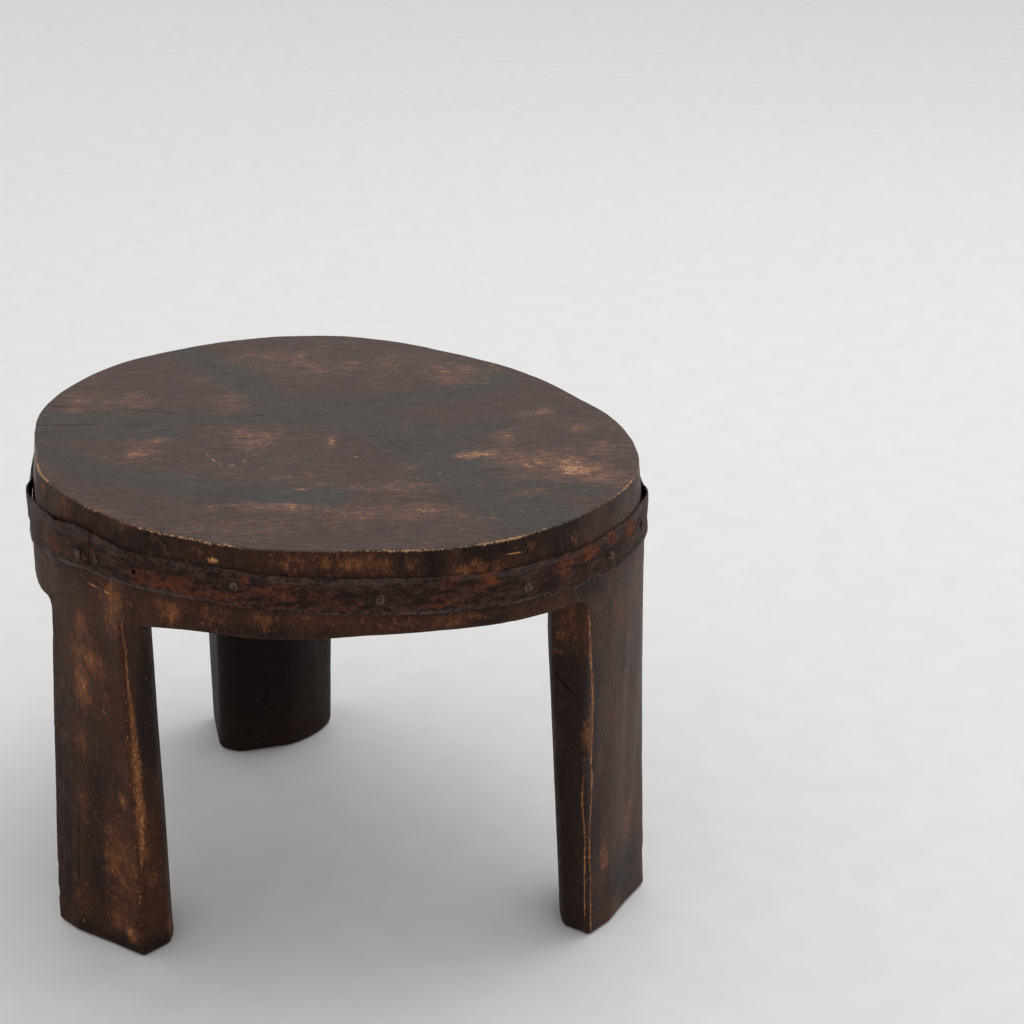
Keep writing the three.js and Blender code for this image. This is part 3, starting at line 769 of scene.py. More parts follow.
class Shade:
    """One socket among a material's nodes. Arithmetic on it adds Math nodes."""

    SPREAD = 4.0

    def __init__(self, tree, socket=None):
        self.tree = tree
        self.socket = socket

    def node(self, kind, inputs=None, output=0, **settings):
        """Adds a node: its settings first, then its inputs by name or number."""
        made = self.tree.nodes.new("ShaderNode" + kind)
        for name, value in settings.items():
            setattr(made, name, value)
        for key, value in (inputs or {}).items():
            if isinstance(value, Shade):
                self.tree.links.new(value.socket, made.inputs[key])
            else:
                made.inputs[key].default_value = value
        return Shade(self.tree, made.outputs[output])

    def math(self, operation, *values):
        return self.node("Math", dict(enumerate(values)), operation=operation)

    def __add__(self, other):
        return self.math("ADD", self, other)

    def __sub__(self, other):
        return self.math("SUBTRACT", self, other)

    def __rsub__(self, other):
        return self.math("SUBTRACT", other, self)

    def __mul__(self, other):
        return self.math("MULTIPLY", self, other)

    __radd__ = __add__
    __rmul__ = __mul__

    def step(self, low, high):
        """0 below low, 1 above high and a smooth S between them."""
        return self.node("MapRange", {"Value": self, "From Min": low, "From Max": high},
                         interpolation_type="SMOOTHSTEP")

    def most(self, other):
        return self.math("MAXIMUM", self, other)

    def over(self, first, second):
        """The first colour where this is 0, and the second where it is 1."""
        return self.node("Mix", {0: self, 6: first, 7: second}, output=2, data_type="RGBA")

    def times(self, factors):
        return self.node("VectorMath", {0: self, 1: factors}, operation="MULTIPLY")

    def plus(self, offset):
        return self.node("VectorMath", {0: self, 1: offset}, operation="ADD")

    def length(self):
        return self.node("VectorMath", {0: self}, output="Value", operation="LENGTH")

    def unit(self):
        return self.node("VectorMath", {0: self}, operation="NORMALIZE")

    def part(self, axis):
        return self.node("SeparateXYZ", {0: self}, output=axis)

    def grain(self, cell, detail=2.0, seed=0.0, roughness=0.5):
        """Noise about 0, mostly less than 1 away, whose cells have the given sizes in millimetres."""
        place = self.times([1 / size for size in cell]).plus((seed, 2 * seed, 3 * seed))
        texture = self.node("TexNoise", {"Vector": place, "Scale": 1.0, "Detail": detail,
                                         "Roughness": roughness})
        return self.math("MULTIPLY_ADD", texture, self.SPREAD, -self.SPREAD / 2)

    def spot(self, middle, sizes, turn=(0, 0, 0), soft=0.35):
        """1 inside an oval with the given half sizes, fading to 0 at its edge."""
        turn = [np.radians(angle) for angle in turn]
        local = self.node("Mapping", {"Vector": self, "Location": middle, "Scale": sizes, "Rotation": turn},
                          vector_type="TEXTURE")
        return local.length().step(1.0, 1.0 - soft)


def paint(red, green, blue):
    """A colour as a screen shows it, from 0 to 255, as the linear colour that a shader takes: the
    standard curve of screens, which is a power with a straight stretch near black."""
    share = np.array([red, green, blue]) / 255
    linear = np.where(share > 0.04045, ((share + 0.055) / 1.055) ** 2.4, share / 12.92)
    return (*linear, 1.0)


def material(name):
    """A new material, its shader, and a Shade that starts its nodes."""
    made = bpy.data.materials.new(name)
    made.use_nodes = True
    return made, made.node_tree.nodes["Principled BSDF"], Shade(made.node_tree)


def into(shader, **sockets):
    """Links or sets a shader's sockets, written with underscores for their spaces."""
    for name, value in sockets.items():
        socket = shader.inputs[name.replace("_", " ")]
        if isinstance(value, Shade):
            value.tree.links.new(value.socket, socket)
        else:
            socket.default_value = value


# Scratches and scars that are finer than the mesh. On top: place, half sizes and turn. On the
# sides: middle, half sizes, and turn about X, Y and Z.
TOP_SCRATCHES = [
    (-63, -44, 15, 1.1, -62), (-58, -52, 5, 1.6, -60), (-51, -14, 12, 0.9, -62), (-50, -55, 2.4, 2.4, 0),
    (-43, -50, 1.9, 2.6, 20), (-76, 30, 1.1, 1.5, 0), (-71, 36, 1.0, 1.5, 0), (21, -40, 5.5, 1.2, -50),
    (75, 62, 1.3, 1.7, 30), (70.6, -66, 0.9, 1.3, 0), (38, 121, 1.0, 1.7, 0), (-5, -93, 4.5, 0.8, 8),
]
SCRATCH_DEPTH = 3
SIDE_SCRATCHES = [
    ((-46.9, -175.3, 268.2), (4.4, 6, 2.1), (0, 0, -20)),
    ((114.6, -164.4, 269.3), (6.8, 5, 0.6), (0, 5, 32)),
    ((-119.0, -131.0, 234.2), (6.5, 5, 0.5), (0, 3, -48)),
    ((-109.8, -139.8, 234.0), (6.4, 5, 0.45), (0, -3, -40)),
    ((-61.8, -168.8, 264.2), (1.8, 4, 1.1), (0, 0, -20)),
]
WOOD_DARK = paint(36, 23, 19)
WOOD_BROWN = paint(70, 43, 31)
WOOD_RUBBED = paint(132, 82, 50)
WOOD_BARE = paint(188, 136, 88)
EDGE_PALE = paint(192, 150, 110)
TOP_DARK = paint(52, 46, 42)
TOP_BROWN = paint(64, 41, 34)
TOP_WARM = paint(120, 80, 56)
TOP_BARE = paint(190, 142, 98)
# Near black, used for painted shade.
PAINTED_SHADE_BLACK = paint(14, 10, 9)
WOOD_IOR = 1.18
RIM_STAIN_FROM, RIM_STAIN_TO = 250, 264
PAINTED_SHADE_FROM, PAINTED_SHADE_TO = 0.9, 1.3
SHEEN_LEFT_FROM, SHEEN_LEFT_TO = -163, -172
SHEEN_RIGHT_FROM, SHEEN_RIGHT_TO = 130, 180
TOP_WAX, SIDE_WAX, RIGHT_WAX, LEFT_WAX = 0.3, 0.03, 0.2, 0.6
WAX_ROUGHNESS = 0.42
RING_SPREAD = 70
NEARLY_ALL = 0.85
DARK_TONE, LIGHT_TONE = (0.52, 0.5, 0.48), (1.48, 1.48, 1.48)
MILLIMETRES = (1000, 1000, 1000)
BUMP_STRENGTH = 0.6
BUMP_DEPTH = 0.0002


def wood_figure(place):
    """Noises that follow the wood. Rings, streaks and rays turn about the pith, upright grain and
    fibres run along the log, brushed runs across the top, and the rest go every way."""
    from_pith = place.plus((-PITH[0], -PITH[1], -SEAT_TOP)).times((1, 1, 0))
    outwards = from_pith.node("CombineXYZ", {"Z": from_pith.length()})
    ring_place = from_pith.unit().times((RING_SPREAD, RING_SPREAD, 0)).plus(outwards)
    return SimpleNamespace(
        rings=ring_place.grain((15, 15, 2.2), detail=5, roughness=0.65),
        streaks=ring_place.grain((7, 7, 0.8), detail=3, seed=3, roughness=0.6),
        rays=ring_place.grain((1.1, 1.1, 14), detail=2, seed=4),
        pores=place.grain((0.8, 0.8, 0.8), detail=2, seed=5),
        clouds=place.grain((38, 38, 38), detail=4, seed=7),
        feathers=place.grain((6, 6, 6), detail=4, seed=8, roughness=0.65),
        crumbs=place.grain((2, 2, 2), detail=3, seed=17, roughness=0.6),
        brushed=place.grain((11, 1.5, 11), detail=3, seed=19, roughness=0.65),
        upright=place.grain((3.2, 3.2, 26), detail=4, seed=9, roughness=0.6),
        fibres=place.grain((0.8, 0.8, 7), detail=3, seed=11, roughness=0.6),
        broad=place.grain((15, 15, 34), detail=5, seed=13, roughness=0.6),
        flecks=place.grain((0.9, 0.9, 2.2), detail=2, seed=15))


def stained_top(place, kept, wood):
    """Colour and tone of the top: brown with dark arms, rubbed warm and then bare, and scratched."""
    dark = 0.85 * kept.stained + 0.3 * wood.clouds + 0.25 * wood.rings + 0.2 * wood.feathers
    colour = dark.step(-0.1, 1.0).over(TOP_BROWN, TOP_DARK)
    rub = (1.2 * kept.rubbed + 0.1 * wood.rings + 0.6 * wood.feathers + 0.3 * wood.clouds
           + 0.25 * wood.brushed + 0.3 * wood.crumbs - 0.3 * kept.stained + 0.06)
    colour = (rub.step(0.05, 1.4) * NEARLY_ALL).over(colour, TOP_WARM)
    colour = ((rub + 0.3 * wood.pores).step(0.95, 1.9) * NEARLY_ALL).over(colour, TOP_BARE)
    scratched = 0
    for x, y, length, width, turn in TOP_SCRATCHES:
        spot = place.spot((x, y, SEAT_TOP), (length, width, SCRATCH_DEPTH), (0, 0, turn), soft=0.7)
        scratched = spot.most(scratched)
    scratched = scratched * (wood.feathers + 0.6 * wood.pores).step(-0.3, 0.5)
    colour = (scratched * 0.8).over(colour, TOP_BARE)
    tone = (0.3 * wood.streaks + 0.55 * wood.pores + 0.25 * wood.rays + 0.85 * wood.brushed
            + 0.25 * wood.crumbs)
    return colour, tone


def stained_and_shaded_sides(place, kept, wood, rim_stain):
    """Colour and tone of the sides: brown with dark clouds of stain and of painted shade, rubbed warm
    and then bare, scratched, and nearly black with painted shade on the back leg and the legs' shaded
    side faces, where the kept marks are strongest."""
    # The dark share holds stain and also, from the kept marks, painted shade on the legs' side faces and the
    # back leg.
    dark = (0.9 * kept.stained + 0.5 * wood.broad + 0.15 * wood.upright + 0.3 * wood.feathers
            + 0.25 * rim_stain)
    colour = dark.step(-0.4, 0.7).over(WOOD_BROWN, WOOD_DARK)
    rub = (1.1 * kept.rubbed + 0.4 * wood.broad + 0.55 * wood.feathers + 0.1 * wood.upright
           + 0.08 * wood.fibres + 0.25 * wood.crumbs - 0.4 * kept.stained - 0.12 * rim_stain)
    colour = (rub.step(0.1, 1.4) * NEARLY_ALL).over(colour, WOOD_RUBBED)
    colour = ((rub + 0.3 * wood.flecks).step(1.15, 1.9) * 0.8).over(colour, WOOD_BARE)
    scratched = 0
    for middle, sizes, turn in SIDE_SCRATCHES:
        scratched = place.spot(middle, sizes, turn, soft=0.6).most(scratched)
    colour = (scratched * (wood.fibres + wood.pores).step(-1.0, 0.6)).over(colour, WOOD_BARE)
    # Near black where the kept marks are strongest: painted shade on the back leg and the legs' shaded side
    # faces.
    colour = (kept.stained.step(PAINTED_SHADE_FROM, PAINTED_SHADE_TO) * 0.6).over(colour, PAINTED_SHADE_BLACK)
    tone = 0.35 * wood.fibres + 0.4 * wood.flecks + 0.2 * wood.upright + 0.25 * wood.crumbs
    return colour, tone


def worn_corners(corners, wood):
    """How far the legs' corners are worn through, near any of the three lines, and the fissures
    where the wear has reached bare wood."""
    worn = 0
    for axis in "XYZ":
        off = corners.part(axis)
        off = off.math("ABSOLUTE", off) + 0.6 * wood.fibres + 0.6 * wood.feathers + 0.4 * wood.upright
        worn = off.step(1.5, 0.0).most(worn)
    fissures = (wood.flecks + 0.8 * wood.fibres + 0.5 * wood.upright).step(-0.1, 0.7)
    return worn, fissures * worn


def stained_wood():
    """Stained and waxed wood, with painted shade on the back leg, the legs' side faces and inside the
    cracks. The marks kept on the mesh are broken up by the wood's figure, so that the stain is worn
    through in streaks."""
    made, shader, start = material("stained_wood")
    place = start.node("TexCoord", output="Object").times(MILLIMETRES).plus(-SEAT_AXIS)
    kept = SimpleNamespace(**{
        name: start.node("Attribute", output="Fac", attribute_name=name)
        for name in ("on_top", "deep", "rubbed", "stained", "edge")})
    corners = start.node("Attribute", output="Vector", attribute_name="corners")
    wood = wood_figure(place)
    rim_stain = place.part("Z").step(RIM_STAIN_FROM, RIM_STAIN_TO)

    top, top_tone = stained_top(place, kept, wood)
    side, side_tone = stained_and_shaded_sides(place, kept, wood, rim_stain)
    worn, fissures = worn_corners(corners, wood)
    side = (worn * 0.75).over(side, WOOD_RUBBED)
    side = (fissures * 0.75).over(side, WOOD_BARE)

    colour = kept.on_top.over(side, top)
    tone = kept.on_top * top_tone + (1 - kept.on_top) * side_tone
    colour = tone.step(-1.0, 1.0).over(colour.times(DARK_TONE), colour.times(LIGHT_TONE))
    edge_bare = (kept.edge + 0.45 * wood.flecks + 0.45 * wood.crumbs + 0.3 * wood.feathers
                 + 0.2 * wood.clouds).step(0.6, 1.15)
    colour = (edge_bare * 0.8).over(colour, EDGE_PALE)
    # Near black deep inside the cracks and nail holes: painted shade.
    colour = kept.deep.over(colour, PAINTED_SHADE_BLACK)

    bare = edge_bare.most(fissures).most(kept.deep)
    rightward = place.part("X")
    left_sheen = rightward.step(SHEEN_LEFT_FROM, SHEEN_LEFT_TO) * rim_stain
    side_wax = SIDE_WAX + RIGHT_WAX * rightward.step(SHEEN_RIGHT_FROM, SHEEN_RIGHT_TO) + LEFT_WAX * left_sheen
    waxed = kept.on_top * TOP_WAX + (1 - kept.on_top) * side_wax
    waxed = waxed * (1 - bare) * (1 + 0.3 * wood.clouds)
    roughness = 0.6 + 0.1 * wood.clouds + 0.1 * wood.feathers + 0.2 * bare
    relief = kept.on_top * (wood.rings + wood.brushed + wood.pores)
    relief = relief + (1 - kept.on_top) * (wood.upright + wood.fibres + 0.5 * wood.flecks) + fissures
    bump = start.node("Bump", {"Strength": BUMP_STRENGTH, "Distance": BUMP_DEPTH, "Height": relief})
    into(shader, Base_Color=colour, Roughness=roughness, Normal=bump, IOR=WOOD_IOR, Coat_Weight=waxed,
         Coat_Roughness=WAX_ROUGHNESS)
    return made


wooden_body.data.materials.clear()
wooden_body.data.materials.append(stained_wood())


# The hoop: one strap of iron, bent hot round the rim and lapped at the front left, where its
# outer end lies over the first. Its edges are wavy from the hammer and its lower lip turns out.
# Bearings round the hoop, with the heights of its upper and lower edges there.
STRAP_EDGES = np.array([
    (183, 252.8, 231.5), (196, 255.2, 233.8), (208, 259.0, 236.6), (213, 261.2, 238.0), (218, 263.2, 240.1),
    (223, 264.6, 242.3), (226.5, 264.8, 243.6), (231, 263.0, 243.6), (236, 263.7, 244.5),
    (246, 264.5, 245.3), (253, 265.0, 245.8), (262, 265.0, 245.5), (269, 263.9, 244.8),
    (275, 263.0, 243.6), (283, 262.4, 243.1), (294, 262.8, 243.7), (303.6, 261.9, 242.7),
    (309, 261.0, 241.1), (314, 260.1, 240.3), (318, 260.7, 240.2), (323, 260.0, 240.2),
    (329.6, 259.9, 239.0), (337, 259.2, 238.2), (346, 259.4, 239.6), (10, 258.5, 239.8), (50, 262.0, 242.4),
    (90, 263.0, 243.6), (130, 261.0, 241.4), (168, 257.5, 236.5)])
STRAP_BLUNTING = 2.5
EDGE_WAVER = [(0.35, 14), (0.2, 4)]
UPPER_COLUMN, LOWER_COLUMN = 1, 2
UPPER_SEED, LOWER_SEED = 31, 32
STRAP_END_LIFT = 1.3
LIFT_FROM, LIFT_TO = STRAP_END + 348, STRAP_END + 358
STRAP_STEPS = 1000
STRAP_SIDES = 40
OVAL_WIDE, OVAL_FLAT = 0.55, 0.22
LIP_TURN = 0.9
LIP_FROM, LIP_WIDTH = 0.55, 0.45
LIP_LOST_FROM, LIP_LOST_TO = 0.1, 1.0
UPPER_TURN = 1.1
UPPER_FROM, UPPER_WIDTH = 0.5, 0.5
UPPER_LOST_FROM, UPPER_LOST_TO = 1.0, 2.5
BACK_ROUNDING = 0.4
SCARF_LENGTH = 2.6
SCARF_END = 0.15
LAP_CLOSING = 0.28
TUCK_FROM = 0.3
TUCK_WIDER = 6.0
TUCK_IN = 0.6
# Depth, size along and across the strap, and seed.
HAMMER_MARKS = [(0.25, (11, 8, 1), 33), (0.1, (4, 4, 1), 34)]
MARKS_BELOW = 0.7


def hammer_marks(run, across):
    """How far shallow hammer marks dent the strap's outside: coarse and fine noise along it."""
    place = np.stack([run + 0 * across, across * 10 + 0 * run, 0 * across * run], axis=-1).reshape(-1, 3)
    marks = sum(depth * (noise(place / size, seed) - MARKS_BELOW) for depth, size, seed in HAMMER_MARKS)
    return marks.reshape(np.broadcast(run, across).shape)


def strap_edge(bearing, run, column, seed):
    """Height of the strap's upper or lower edge: its line in the table, with noise along it."""
    waver = sum(size * noise(np.column_stack([run / cell, 0 * run + seed, 0 * run]), seed)
                for size, cell in EDGE_WAVER)
    return periodic(STRAP_EDGES[:, [0, column]], bearing, STRAP_BLUNTING) + waver[:, None]


def strap_bend(across, through, stand):
    """How far the strap's face bends outwards: the lower lip turns out and the upper edge turns in
    to the wood, each as the square of how near the edge it is, and less where the strap is loose."""
    lip = LIP_TURN * (1 - ramp(stand, LIP_LOST_FROM, LIP_LOST_TO))
    lip = lip * np.clip((-across - LIP_FROM) / LIP_WIDTH, 0, 1) ** 2
    turned_in = UPPER_TURN * (1 - ramp(stand, UPPER_LOST_FROM, UPPER_LOST_TO))
    bend = lip - turned_in * np.clip((across - UPPER_FROM) / UPPER_WIDTH, 0, 1) ** 2
    room = stand + STRAP_CLEARANCE + (1 - through) * BACK_ROUNDING
    return np.where(bend < 0, np.maximum(bend, -room), bend)


def strap():
    """A flat oval carried round the rim, as rings of points. Across the strap the oval's width
    follows the two wavy edges. Shallow hammer marks dent its outside, and at the loose places its
    lower edge is hammered in to the wood. The lap's outer end thins to a tip, which follows the
    marks of the layer below it."""
    bearing = np.linspace(STRAP_END - STRAP_LAP, STRAP_END + 360, STRAP_STEPS)[:, None]
    base, out = rim_frame(bearing)
    turn = np.linspace(0, 2 * np.pi, STRAP_SIDES, endpoint=False)[None, :]
    across = -np.sign(np.sin(turn)) * np.abs(np.sin(turn)) ** OVAL_WIDE
    through = np.sign(np.cos(turn)) * np.abs(np.cos(turn)) ** OVAL_FLAT
    run = np.radians(bearing) * SEAT_RADIUS
    upper = strap_edge(bearing, run, UPPER_COLUMN, UPPER_SEED)
    upper = upper + STRAP_END_LIFT * ramp(bearing, LIFT_FROM, LIFT_TO)
    lower = strap_edge(bearing, run, LOWER_COLUMN, LOWER_SEED)
    z = (upper + lower) / 2 + across * (upper - lower) / 2
    stand = strap_rise(bearing, across)
    scarfed = SCARF_END + (1 - SCARF_END) * ramp(STRAP_END + 360 - bearing, 0, SCARF_LENGTH)
    dents = np.where(through > 0, hammer_marks(run, across) * scarfed, 0)
    thickness = scarfed * STRAP_THICKNESS * (0.5 + 0.5 * through) + dents
    closing = ramp(bearing, STRAP_END + 360 - 2 * SCARF_LENGTH, STRAP_END + 360)
    below = hammer_marks(run - 2 * np.pi * SEAT_RADIUS, across)
    loose = sum(bump(bearing, place, reach + TUCK_WIDER) for place, reach, _ in STAND_OFFS)
    gap = taut_radius(bearing) - rim_radius(bearing) + TUCK_IN
    tucked = loose * gap * np.clip(TUCK_FROM - across, 0, 1)
    away = wall_flare(z) + STRAP_CLEARANCE + stand - tucked + thickness + strap_bend(across, through, stand)
    away = away + closing * (below - LAP_CLOSING)
    points = base + out * away[..., None]
    points[..., 2] = z
    return points


hoop = new_piece("forged_hoop", *closed_skin(strap()))
cut(hoop, holes)
hoop.data.shade_smooth()
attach(hoop, "root")
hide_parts("iron_hoop")


# The hoop's finish: forge scale and old wax, near black, rusted through in patches. Its upper
# edge and its lower lip are rubbed to grey metal, and the grey painted there is also a painted
# highlight for the light those edges catch. Marks of rust: point, half width round the hoop, half
# height, strength.
STRAP_RUST = [
    (-147, -99, 249, 18, 6, 0.75), (-148, -94, 257, 5, 3, 0.9), (-74, -165, 251, 20, 4, 0.95),
    (-12, -188, 254, 17, 5, 0.8), (-28, -184, 261, 3, 3, 0.8), (101, -175, 258, 6, 4, 1.1),
    (142, -146, 255, 7, 5, 1.0), (157, -129, 256, 9, 4, 1.1), (179, -88, 254, 6, 5, 1.1),
    (23, -191, 262, 2, 3, 0.9), (80, -184, 260, 5, 2.5, 0.9), (75, -186, 250, 8, 5, 0.6),
    (22, -192, 248, 16, 4, 0.55), (-50, -178, 249, 30, 4, 0.7), (168, -110, 258, 5, 5, 0.9),
    (-125, -125, 250, 8, 8, 0.4), (60, 180, 250, 50, 7, 0.5), (-90, 170, 252, 40, 6, 0.55),
    (160, 70, 252, 30, 7, 0.5), (-170, 30, 250, 40, 6, 0.5),
]
IRON_DARK = paint(40, 28, 25)
IRON_BROWN = paint(66, 43, 35)
IRON_RUST = paint(104, 58, 36)
IRON_RUBBED_AND_SHEEN = paint(86, 76, 74)
IRON_DARK_TONE, IRON_LIGHT_TONE = (0.76, 0.74, 0.73), (1.26, 1.26, 1.26)
LIP_GREY_FROM, LIP_GREY_TO = -0.74, -0.88
UPPER_GREY_FROM, UPPER_GREY_TO = 0.5, 0.72
IRON_IOR = 1.16

strap_skin = points_of(hoop)
strap_turn = np.degrees(np.arctan2(strap_skin[:, 1], strap_skin[:, 0]))
on_circle = SEAT_RADIUS * np.stack([np.cos(np.radians(strap_turn)), np.sin(np.radians(strap_turn))])
high = periodic(STRAP_EDGES[:, :2], strap_turn, STRAP_BLUNTING)
low = periodic(STRAP_EDGES[:, ::2], strap_turn, STRAP_BLUNTING)
keep(hoop, "across", 2 * (strap_skin[:, 2] - low) / (high - low) - 1)
keep(hoop, "rusted", blots(strap_skin, STRAP_RUST))
keep(hoop, "along", np.column_stack([*on_circle, strap_skin[:, 2]]))


def forged_iron():
    """Iron with rust that follows the kept marks and a noise drawn out along the strap, and with
    grey on a band below the upper edge and on the lip: rubbed metal and a painted highlight."""
    made, shader, start = material("forged_iron")
    along = start.node("Attribute", output="Vector", attribute_name="along")
    across = start.node("Attribute", output="Fac", attribute_name="across")
    rusted = start.node("Attribute", output="Fac", attribute_name="rusted")
    scale = along.grain((9, 9, 3.2), detail=4, seed=21, roughness=0.6)
    crust = along.grain((2.2, 2.2, 1.8), detail=3, seed=23, roughness=0.6)
    drawn = along.grain((40, 40, 1.6), detail=3, seed=25)
    specks = along.grain((0.7, 0.7, 0.7), detail=2, seed=27)

    colour = (scale + 0.6 * crust).step(-0.5, 0.7).over(IRON_DARK, IRON_BROWN)
    rust = rusted + 0.4 * scale + 0.3 * crust
    colour = (rust.step(0.15, 1.35) * 0.8).over(colour, IRON_RUST)
    rust_thick = rust.step(0.3, 0.9)
    lip = (across + 0.06 * scale).step(LIP_GREY_FROM, LIP_GREY_TO)
    upper = (across + 0.08 * scale).step(UPPER_GREY_FROM, UPPER_GREY_TO)
    # Grey on the lip and the upper band: rubbed metal and painted highlight.
    rubbed = lip.most(upper * 0.5) * (drawn + 0.5 * crust).step(-0.6, 0.6) * (1 - 0.8 * rust_thick)
    colour = (rubbed * 0.7).over(colour, IRON_RUBBED_AND_SHEEN)
    tone = 0.6 * crust + 0.5 * specks + 0.3 * scale
    colour = tone.step(-1.0, 1.0).over(colour.times(IRON_DARK_TONE), colour.times(IRON_LIGHT_TONE))
    roughness = 0.6 + 0.1 * crust - 0.1 * rubbed + 0.15 * rust_thick
    relief = scale + 0.6 * crust + 0.25 * specks
    bump = start.node("Bump", {"Strength": BUMP_STRENGTH, "Distance": BUMP_DEPTH, "Height": relief})
    into(shader, Base_Color=colour, Roughness=roughness, Metallic=0.1 + 0.4 * rubbed, Normal=bump,
         IOR=IRON_IOR)
    return made


hoop.data.materials.clear()
hoop.data.materials.append(forged_iron())


# The nails: forged by hand, each with a domed head of its own shape that bears on the hoop, a
# round shank through the strap's hole and a point driven into the wood.
HEAD_RADIUS = 2.9
HEAD_RISE = 1.5
HEAD_RIM = 0.14
HEAD_SIDES = 28
HEAD_LOBES = [(2, 0.05), (3, 0.04), (5, 0.025)]
DOME_RINGS = np.array([0.985, 0.95, 0.88, 0.78, 0.66, 0.52, 0.36, 0.2, 0.07])
DOME_POWER = 2.6
HAMMER_BLOWS = 4
BLOW_HEIGHT = 0.95
LEAST_HEIGHT = 0.3
SHANK_RADIUS = 1.3
NAIL_BITE = 20.0
NAIL_POINT = 5.0
NAIL_SEED = 100
HEAD_GREY = paint(94, 78, 68)
HEAD_DARK = paint(50, 36, 30)
HEAD_BUMP_DEPTH = 0.00006


def forged_nail(bearing, rise, seed):
    """Rings along the rim's normal: a point, a shank, and a head whose height falls from its
    middle as one less the distance to a power, on a rim that is not quite round, with a few
    hammered flats."""
    rng = np.random.default_rng(seed)
    seat, face, out, side, up = nail_seat(bearing, rise)
    turn = np.linspace(0, 2 * np.pi, HEAD_SIDES, endpoint=False)
    outline = 1
    radius = HEAD_RADIUS * rng.uniform(0.88, 1.02)
    for lobes, size in HEAD_LOBES:
        outline = outline + size * np.cos(lobes * turn + rng.uniform(0, 6.3))
    outline = radius * outline
    shank = np.full(HEAD_SIDES, SHANK_RADIUS)
    bottom = -(face + NAIL_BITE)
    rings = [(0.1 * shank, bottom), (shank, bottom + NAIL_POINT), (shank, -0.2), (shank, 0.05),
             (0.5 * (shank + outline), 0.02), (0.96 * outline, 0.0), (outline, HEAD_RIM)]
    dome = HEAD_RISE * rng.uniform(0.75, 1.0) * (1 - DOME_RINGS ** DOME_POWER)
    rings += [(share * outline, HEAD_RIM + height) for share, height in zip(DOME_RINGS, dome)]
    radii = np.stack([ring for ring, _ in rings])
    reach = np.array([height for _, height in rings])[:, None] + 0 * radii
    x, y = radii * np.cos(turn), radii * np.sin(turn)
    for _ in range(HAMMER_BLOWS):
        direction = rng.uniform(0, 2 * np.pi)
        tilt = rng.uniform(0.25, 0.5)
        flat = HEAD_RISE * BLOW_HEIGHT - tilt * (x * np.cos(direction) + y * np.sin(direction))
        reach = np.where(reach > HEAD_RIM, np.minimum(reach, np.maximum(flat, LEAST_HEIGHT)), reach)
    lean = rng.uniform(-0.05, 0.05, 2)
    reach = reach + np.where(reach > 0.1, x * lean[0] + y * lean[1], 0)
    return seat + out * reach[..., None] + side * x[..., None] + up * y[..., None]


def nail_iron():
    """Worn iron: grey where the head is rubbed, brown in its hollows."""
    made, shader, start = material("nail_iron")
    place = start.node("TexCoord", output="Object").times(MILLIMETRES)
    scale = place.grain((1.6, 1.6, 1.6), detail=3, seed=31)
    specks = place.grain((0.5, 0.5, 0.5), detail=2, seed=33)
    relief = scale + 0.5 * specks
    worn = relief.step(-0.4, 0.4)
    bump = start.node("Bump", {"Strength": BUMP_STRENGTH, "Distance": HEAD_BUMP_DEPTH, "Height": relief})
    into(shader, Base_Color=worn.over(HEAD_DARK, HEAD_GREY), Roughness=0.62 - 0.16 * worn,
         Metallic=0.1 + 0.2 * worn, Normal=bump, IOR=IRON_IOR)
    return made


worn_iron = nail_iron()
for number, (bearing, rise) in enumerate(NAILS, start=1):
    rings = forged_nail(bearing, rise, seed=NAIL_SEED + number)
    nail = new_piece(f"forged_nail_{number:02d}", *closed_skin(rings))
    nail.data.materials.append(worn_iron)
    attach(nail, "root")
    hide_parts(f"hoop_nail_{number:02d}")


# Camera, at the photograph's place and angle: the eye's place from the seat's axis, how many
# degrees it looks down and leans, and a lens that gives the photograph's width of view.
EYE = np.array([112.58, -1303.47, 742.03])
EYE_DOWN = 21.5
EYE_ROLL = 0.5
FOCAL_LENGTH = 80.86
SENSOR_WIDTH = 36.0
camera_data = bpy.data.cameras.new("camera")
camera_data.lens = FOCAL_LENGTH
camera_data.sensor_width = SENSOR_WIDTH
camera = in_scene("camera", camera_data)
camera.location = (EYE + SEAT_AXIS) * MM
lean = Matrix.Rotation(np.radians(90 - EYE_DOWN), 3, "X")
camera.rotation_euler = (lean @ Matrix.Rotation(np.radians(EYE_ROLL), 3, "Z")).to_euler()
bpy.context.scene.camera = camera


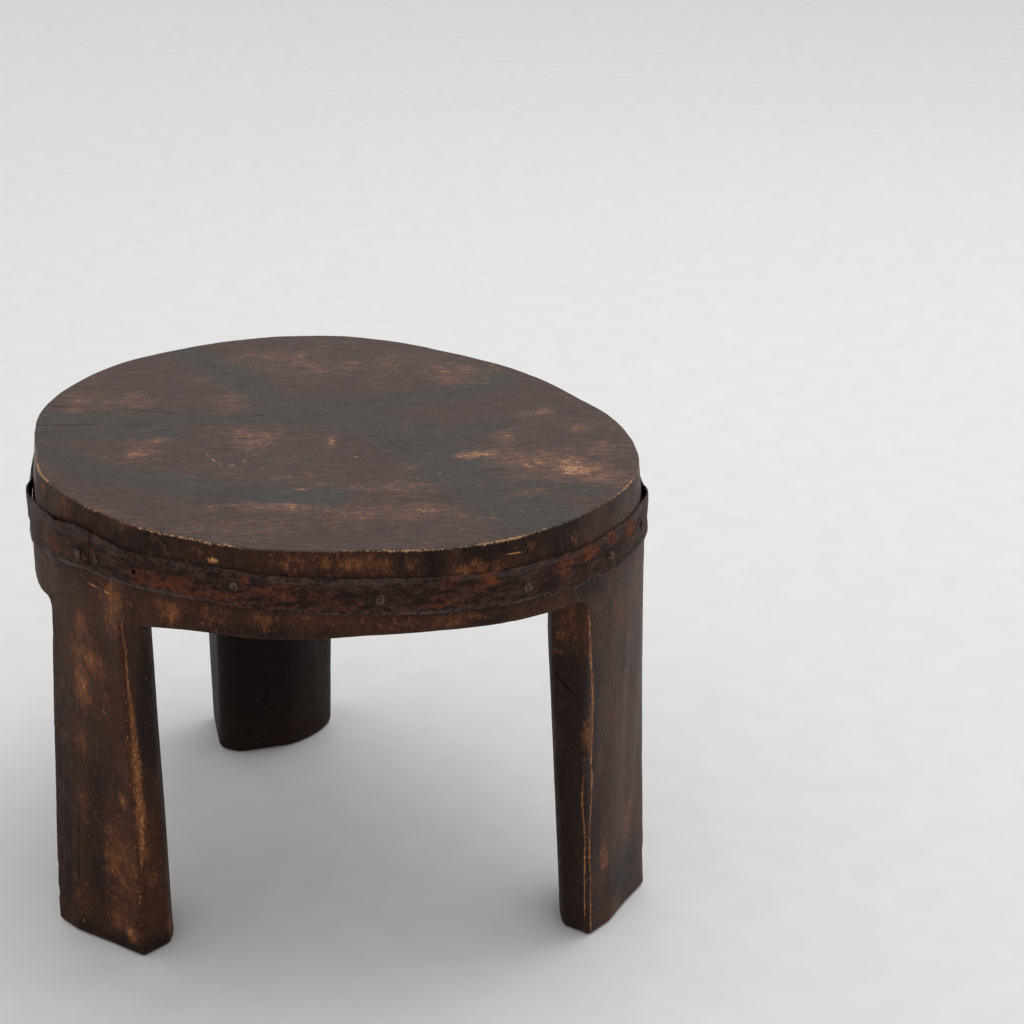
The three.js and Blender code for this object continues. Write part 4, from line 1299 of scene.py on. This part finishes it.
# Stage: a wide pale floor that runs out of sight, and soft light from above and behind, with less
# of it from the front.
FLOOR_RADIUS = 40.0
FLOOR_SIDES = 96
FLOOR_PALE = paint(232, 231, 230)
FLOOR_PALER = paint(236, 235, 234)
FLOOR_MOTTLE = (30, 30, 30)
FLOOR_ROUGHNESS = 0.9
LIGHT_ALL_ROUND = 0.58
LIGHT_ABOVE = 0.22
LIGHT_BEHIND = 0.22
LIGHT_FROM_RIGHT = 0.1
LAMP_POWER = 17.0
LAMP_SIZE = 2.4
LAMP_PLACE = Vector((0.9, 0.8, 2.4))
LAMP_AIM = Vector((0, 0, 0.15))

turn = np.linspace(0, 2 * np.pi, FLOOR_SIDES, endpoint=False)
ring = np.column_stack([np.cos(turn), np.sin(turn), 0 * turn]) * FLOOR_RADIUS
floor_mesh = bpy.data.meshes.new("floor")
floor_mesh.from_pydata(ring.tolist(), [], [tuple(range(len(ring)))])
floor = in_scene("floor", floor_mesh)
floor_paint, floor_shader, start = material("floor_paper")
mottle = start.node("TexCoord", output="Object").times(MILLIMETRES).grain(FLOOR_MOTTLE, detail=3)
into(floor_shader, Base_Color=mottle.step(-1, 1).over(FLOOR_PALE, FLOOR_PALER), Roughness=FLOOR_ROUGHNESS)
floor.data.materials.append(floor_paint)

world = bpy.data.worlds.new("studio")
bpy.context.scene.world = world
world.use_nodes = True
sky = Shade(world.node_tree)
toward = sky.node("TexCoord", output="Generated")
rightward, backward, upward = (toward.part(axis) for axis in "XYZ")
level = LIGHT_ALL_ROUND + LIGHT_ABOVE * upward.most(0)
level = level + LIGHT_BEHIND * backward.most(0) + LIGHT_FROM_RIGHT * rightward
backdrop = world.node_tree.nodes["Background"]
backdrop.inputs["Color"].default_value = (1, 1, 1, 1)
world.node_tree.links.new(level.socket, backdrop.inputs["Strength"])

lamp_data = bpy.data.lights.new("soft_lamp", "AREA")
lamp_data.shape = "DISK"
lamp_data.size = LAMP_SIZE
lamp_data.energy = LAMP_POWER
lamp = in_scene("soft_lamp", lamp_data)
lamp.location = LAMP_PLACE
lamp.rotation_euler = (LAMP_AIM - LAMP_PLACE).to_track_quat("-Z", "Y").to_euler()

bpy.context.scene.view_settings.view_transform = "Standard"
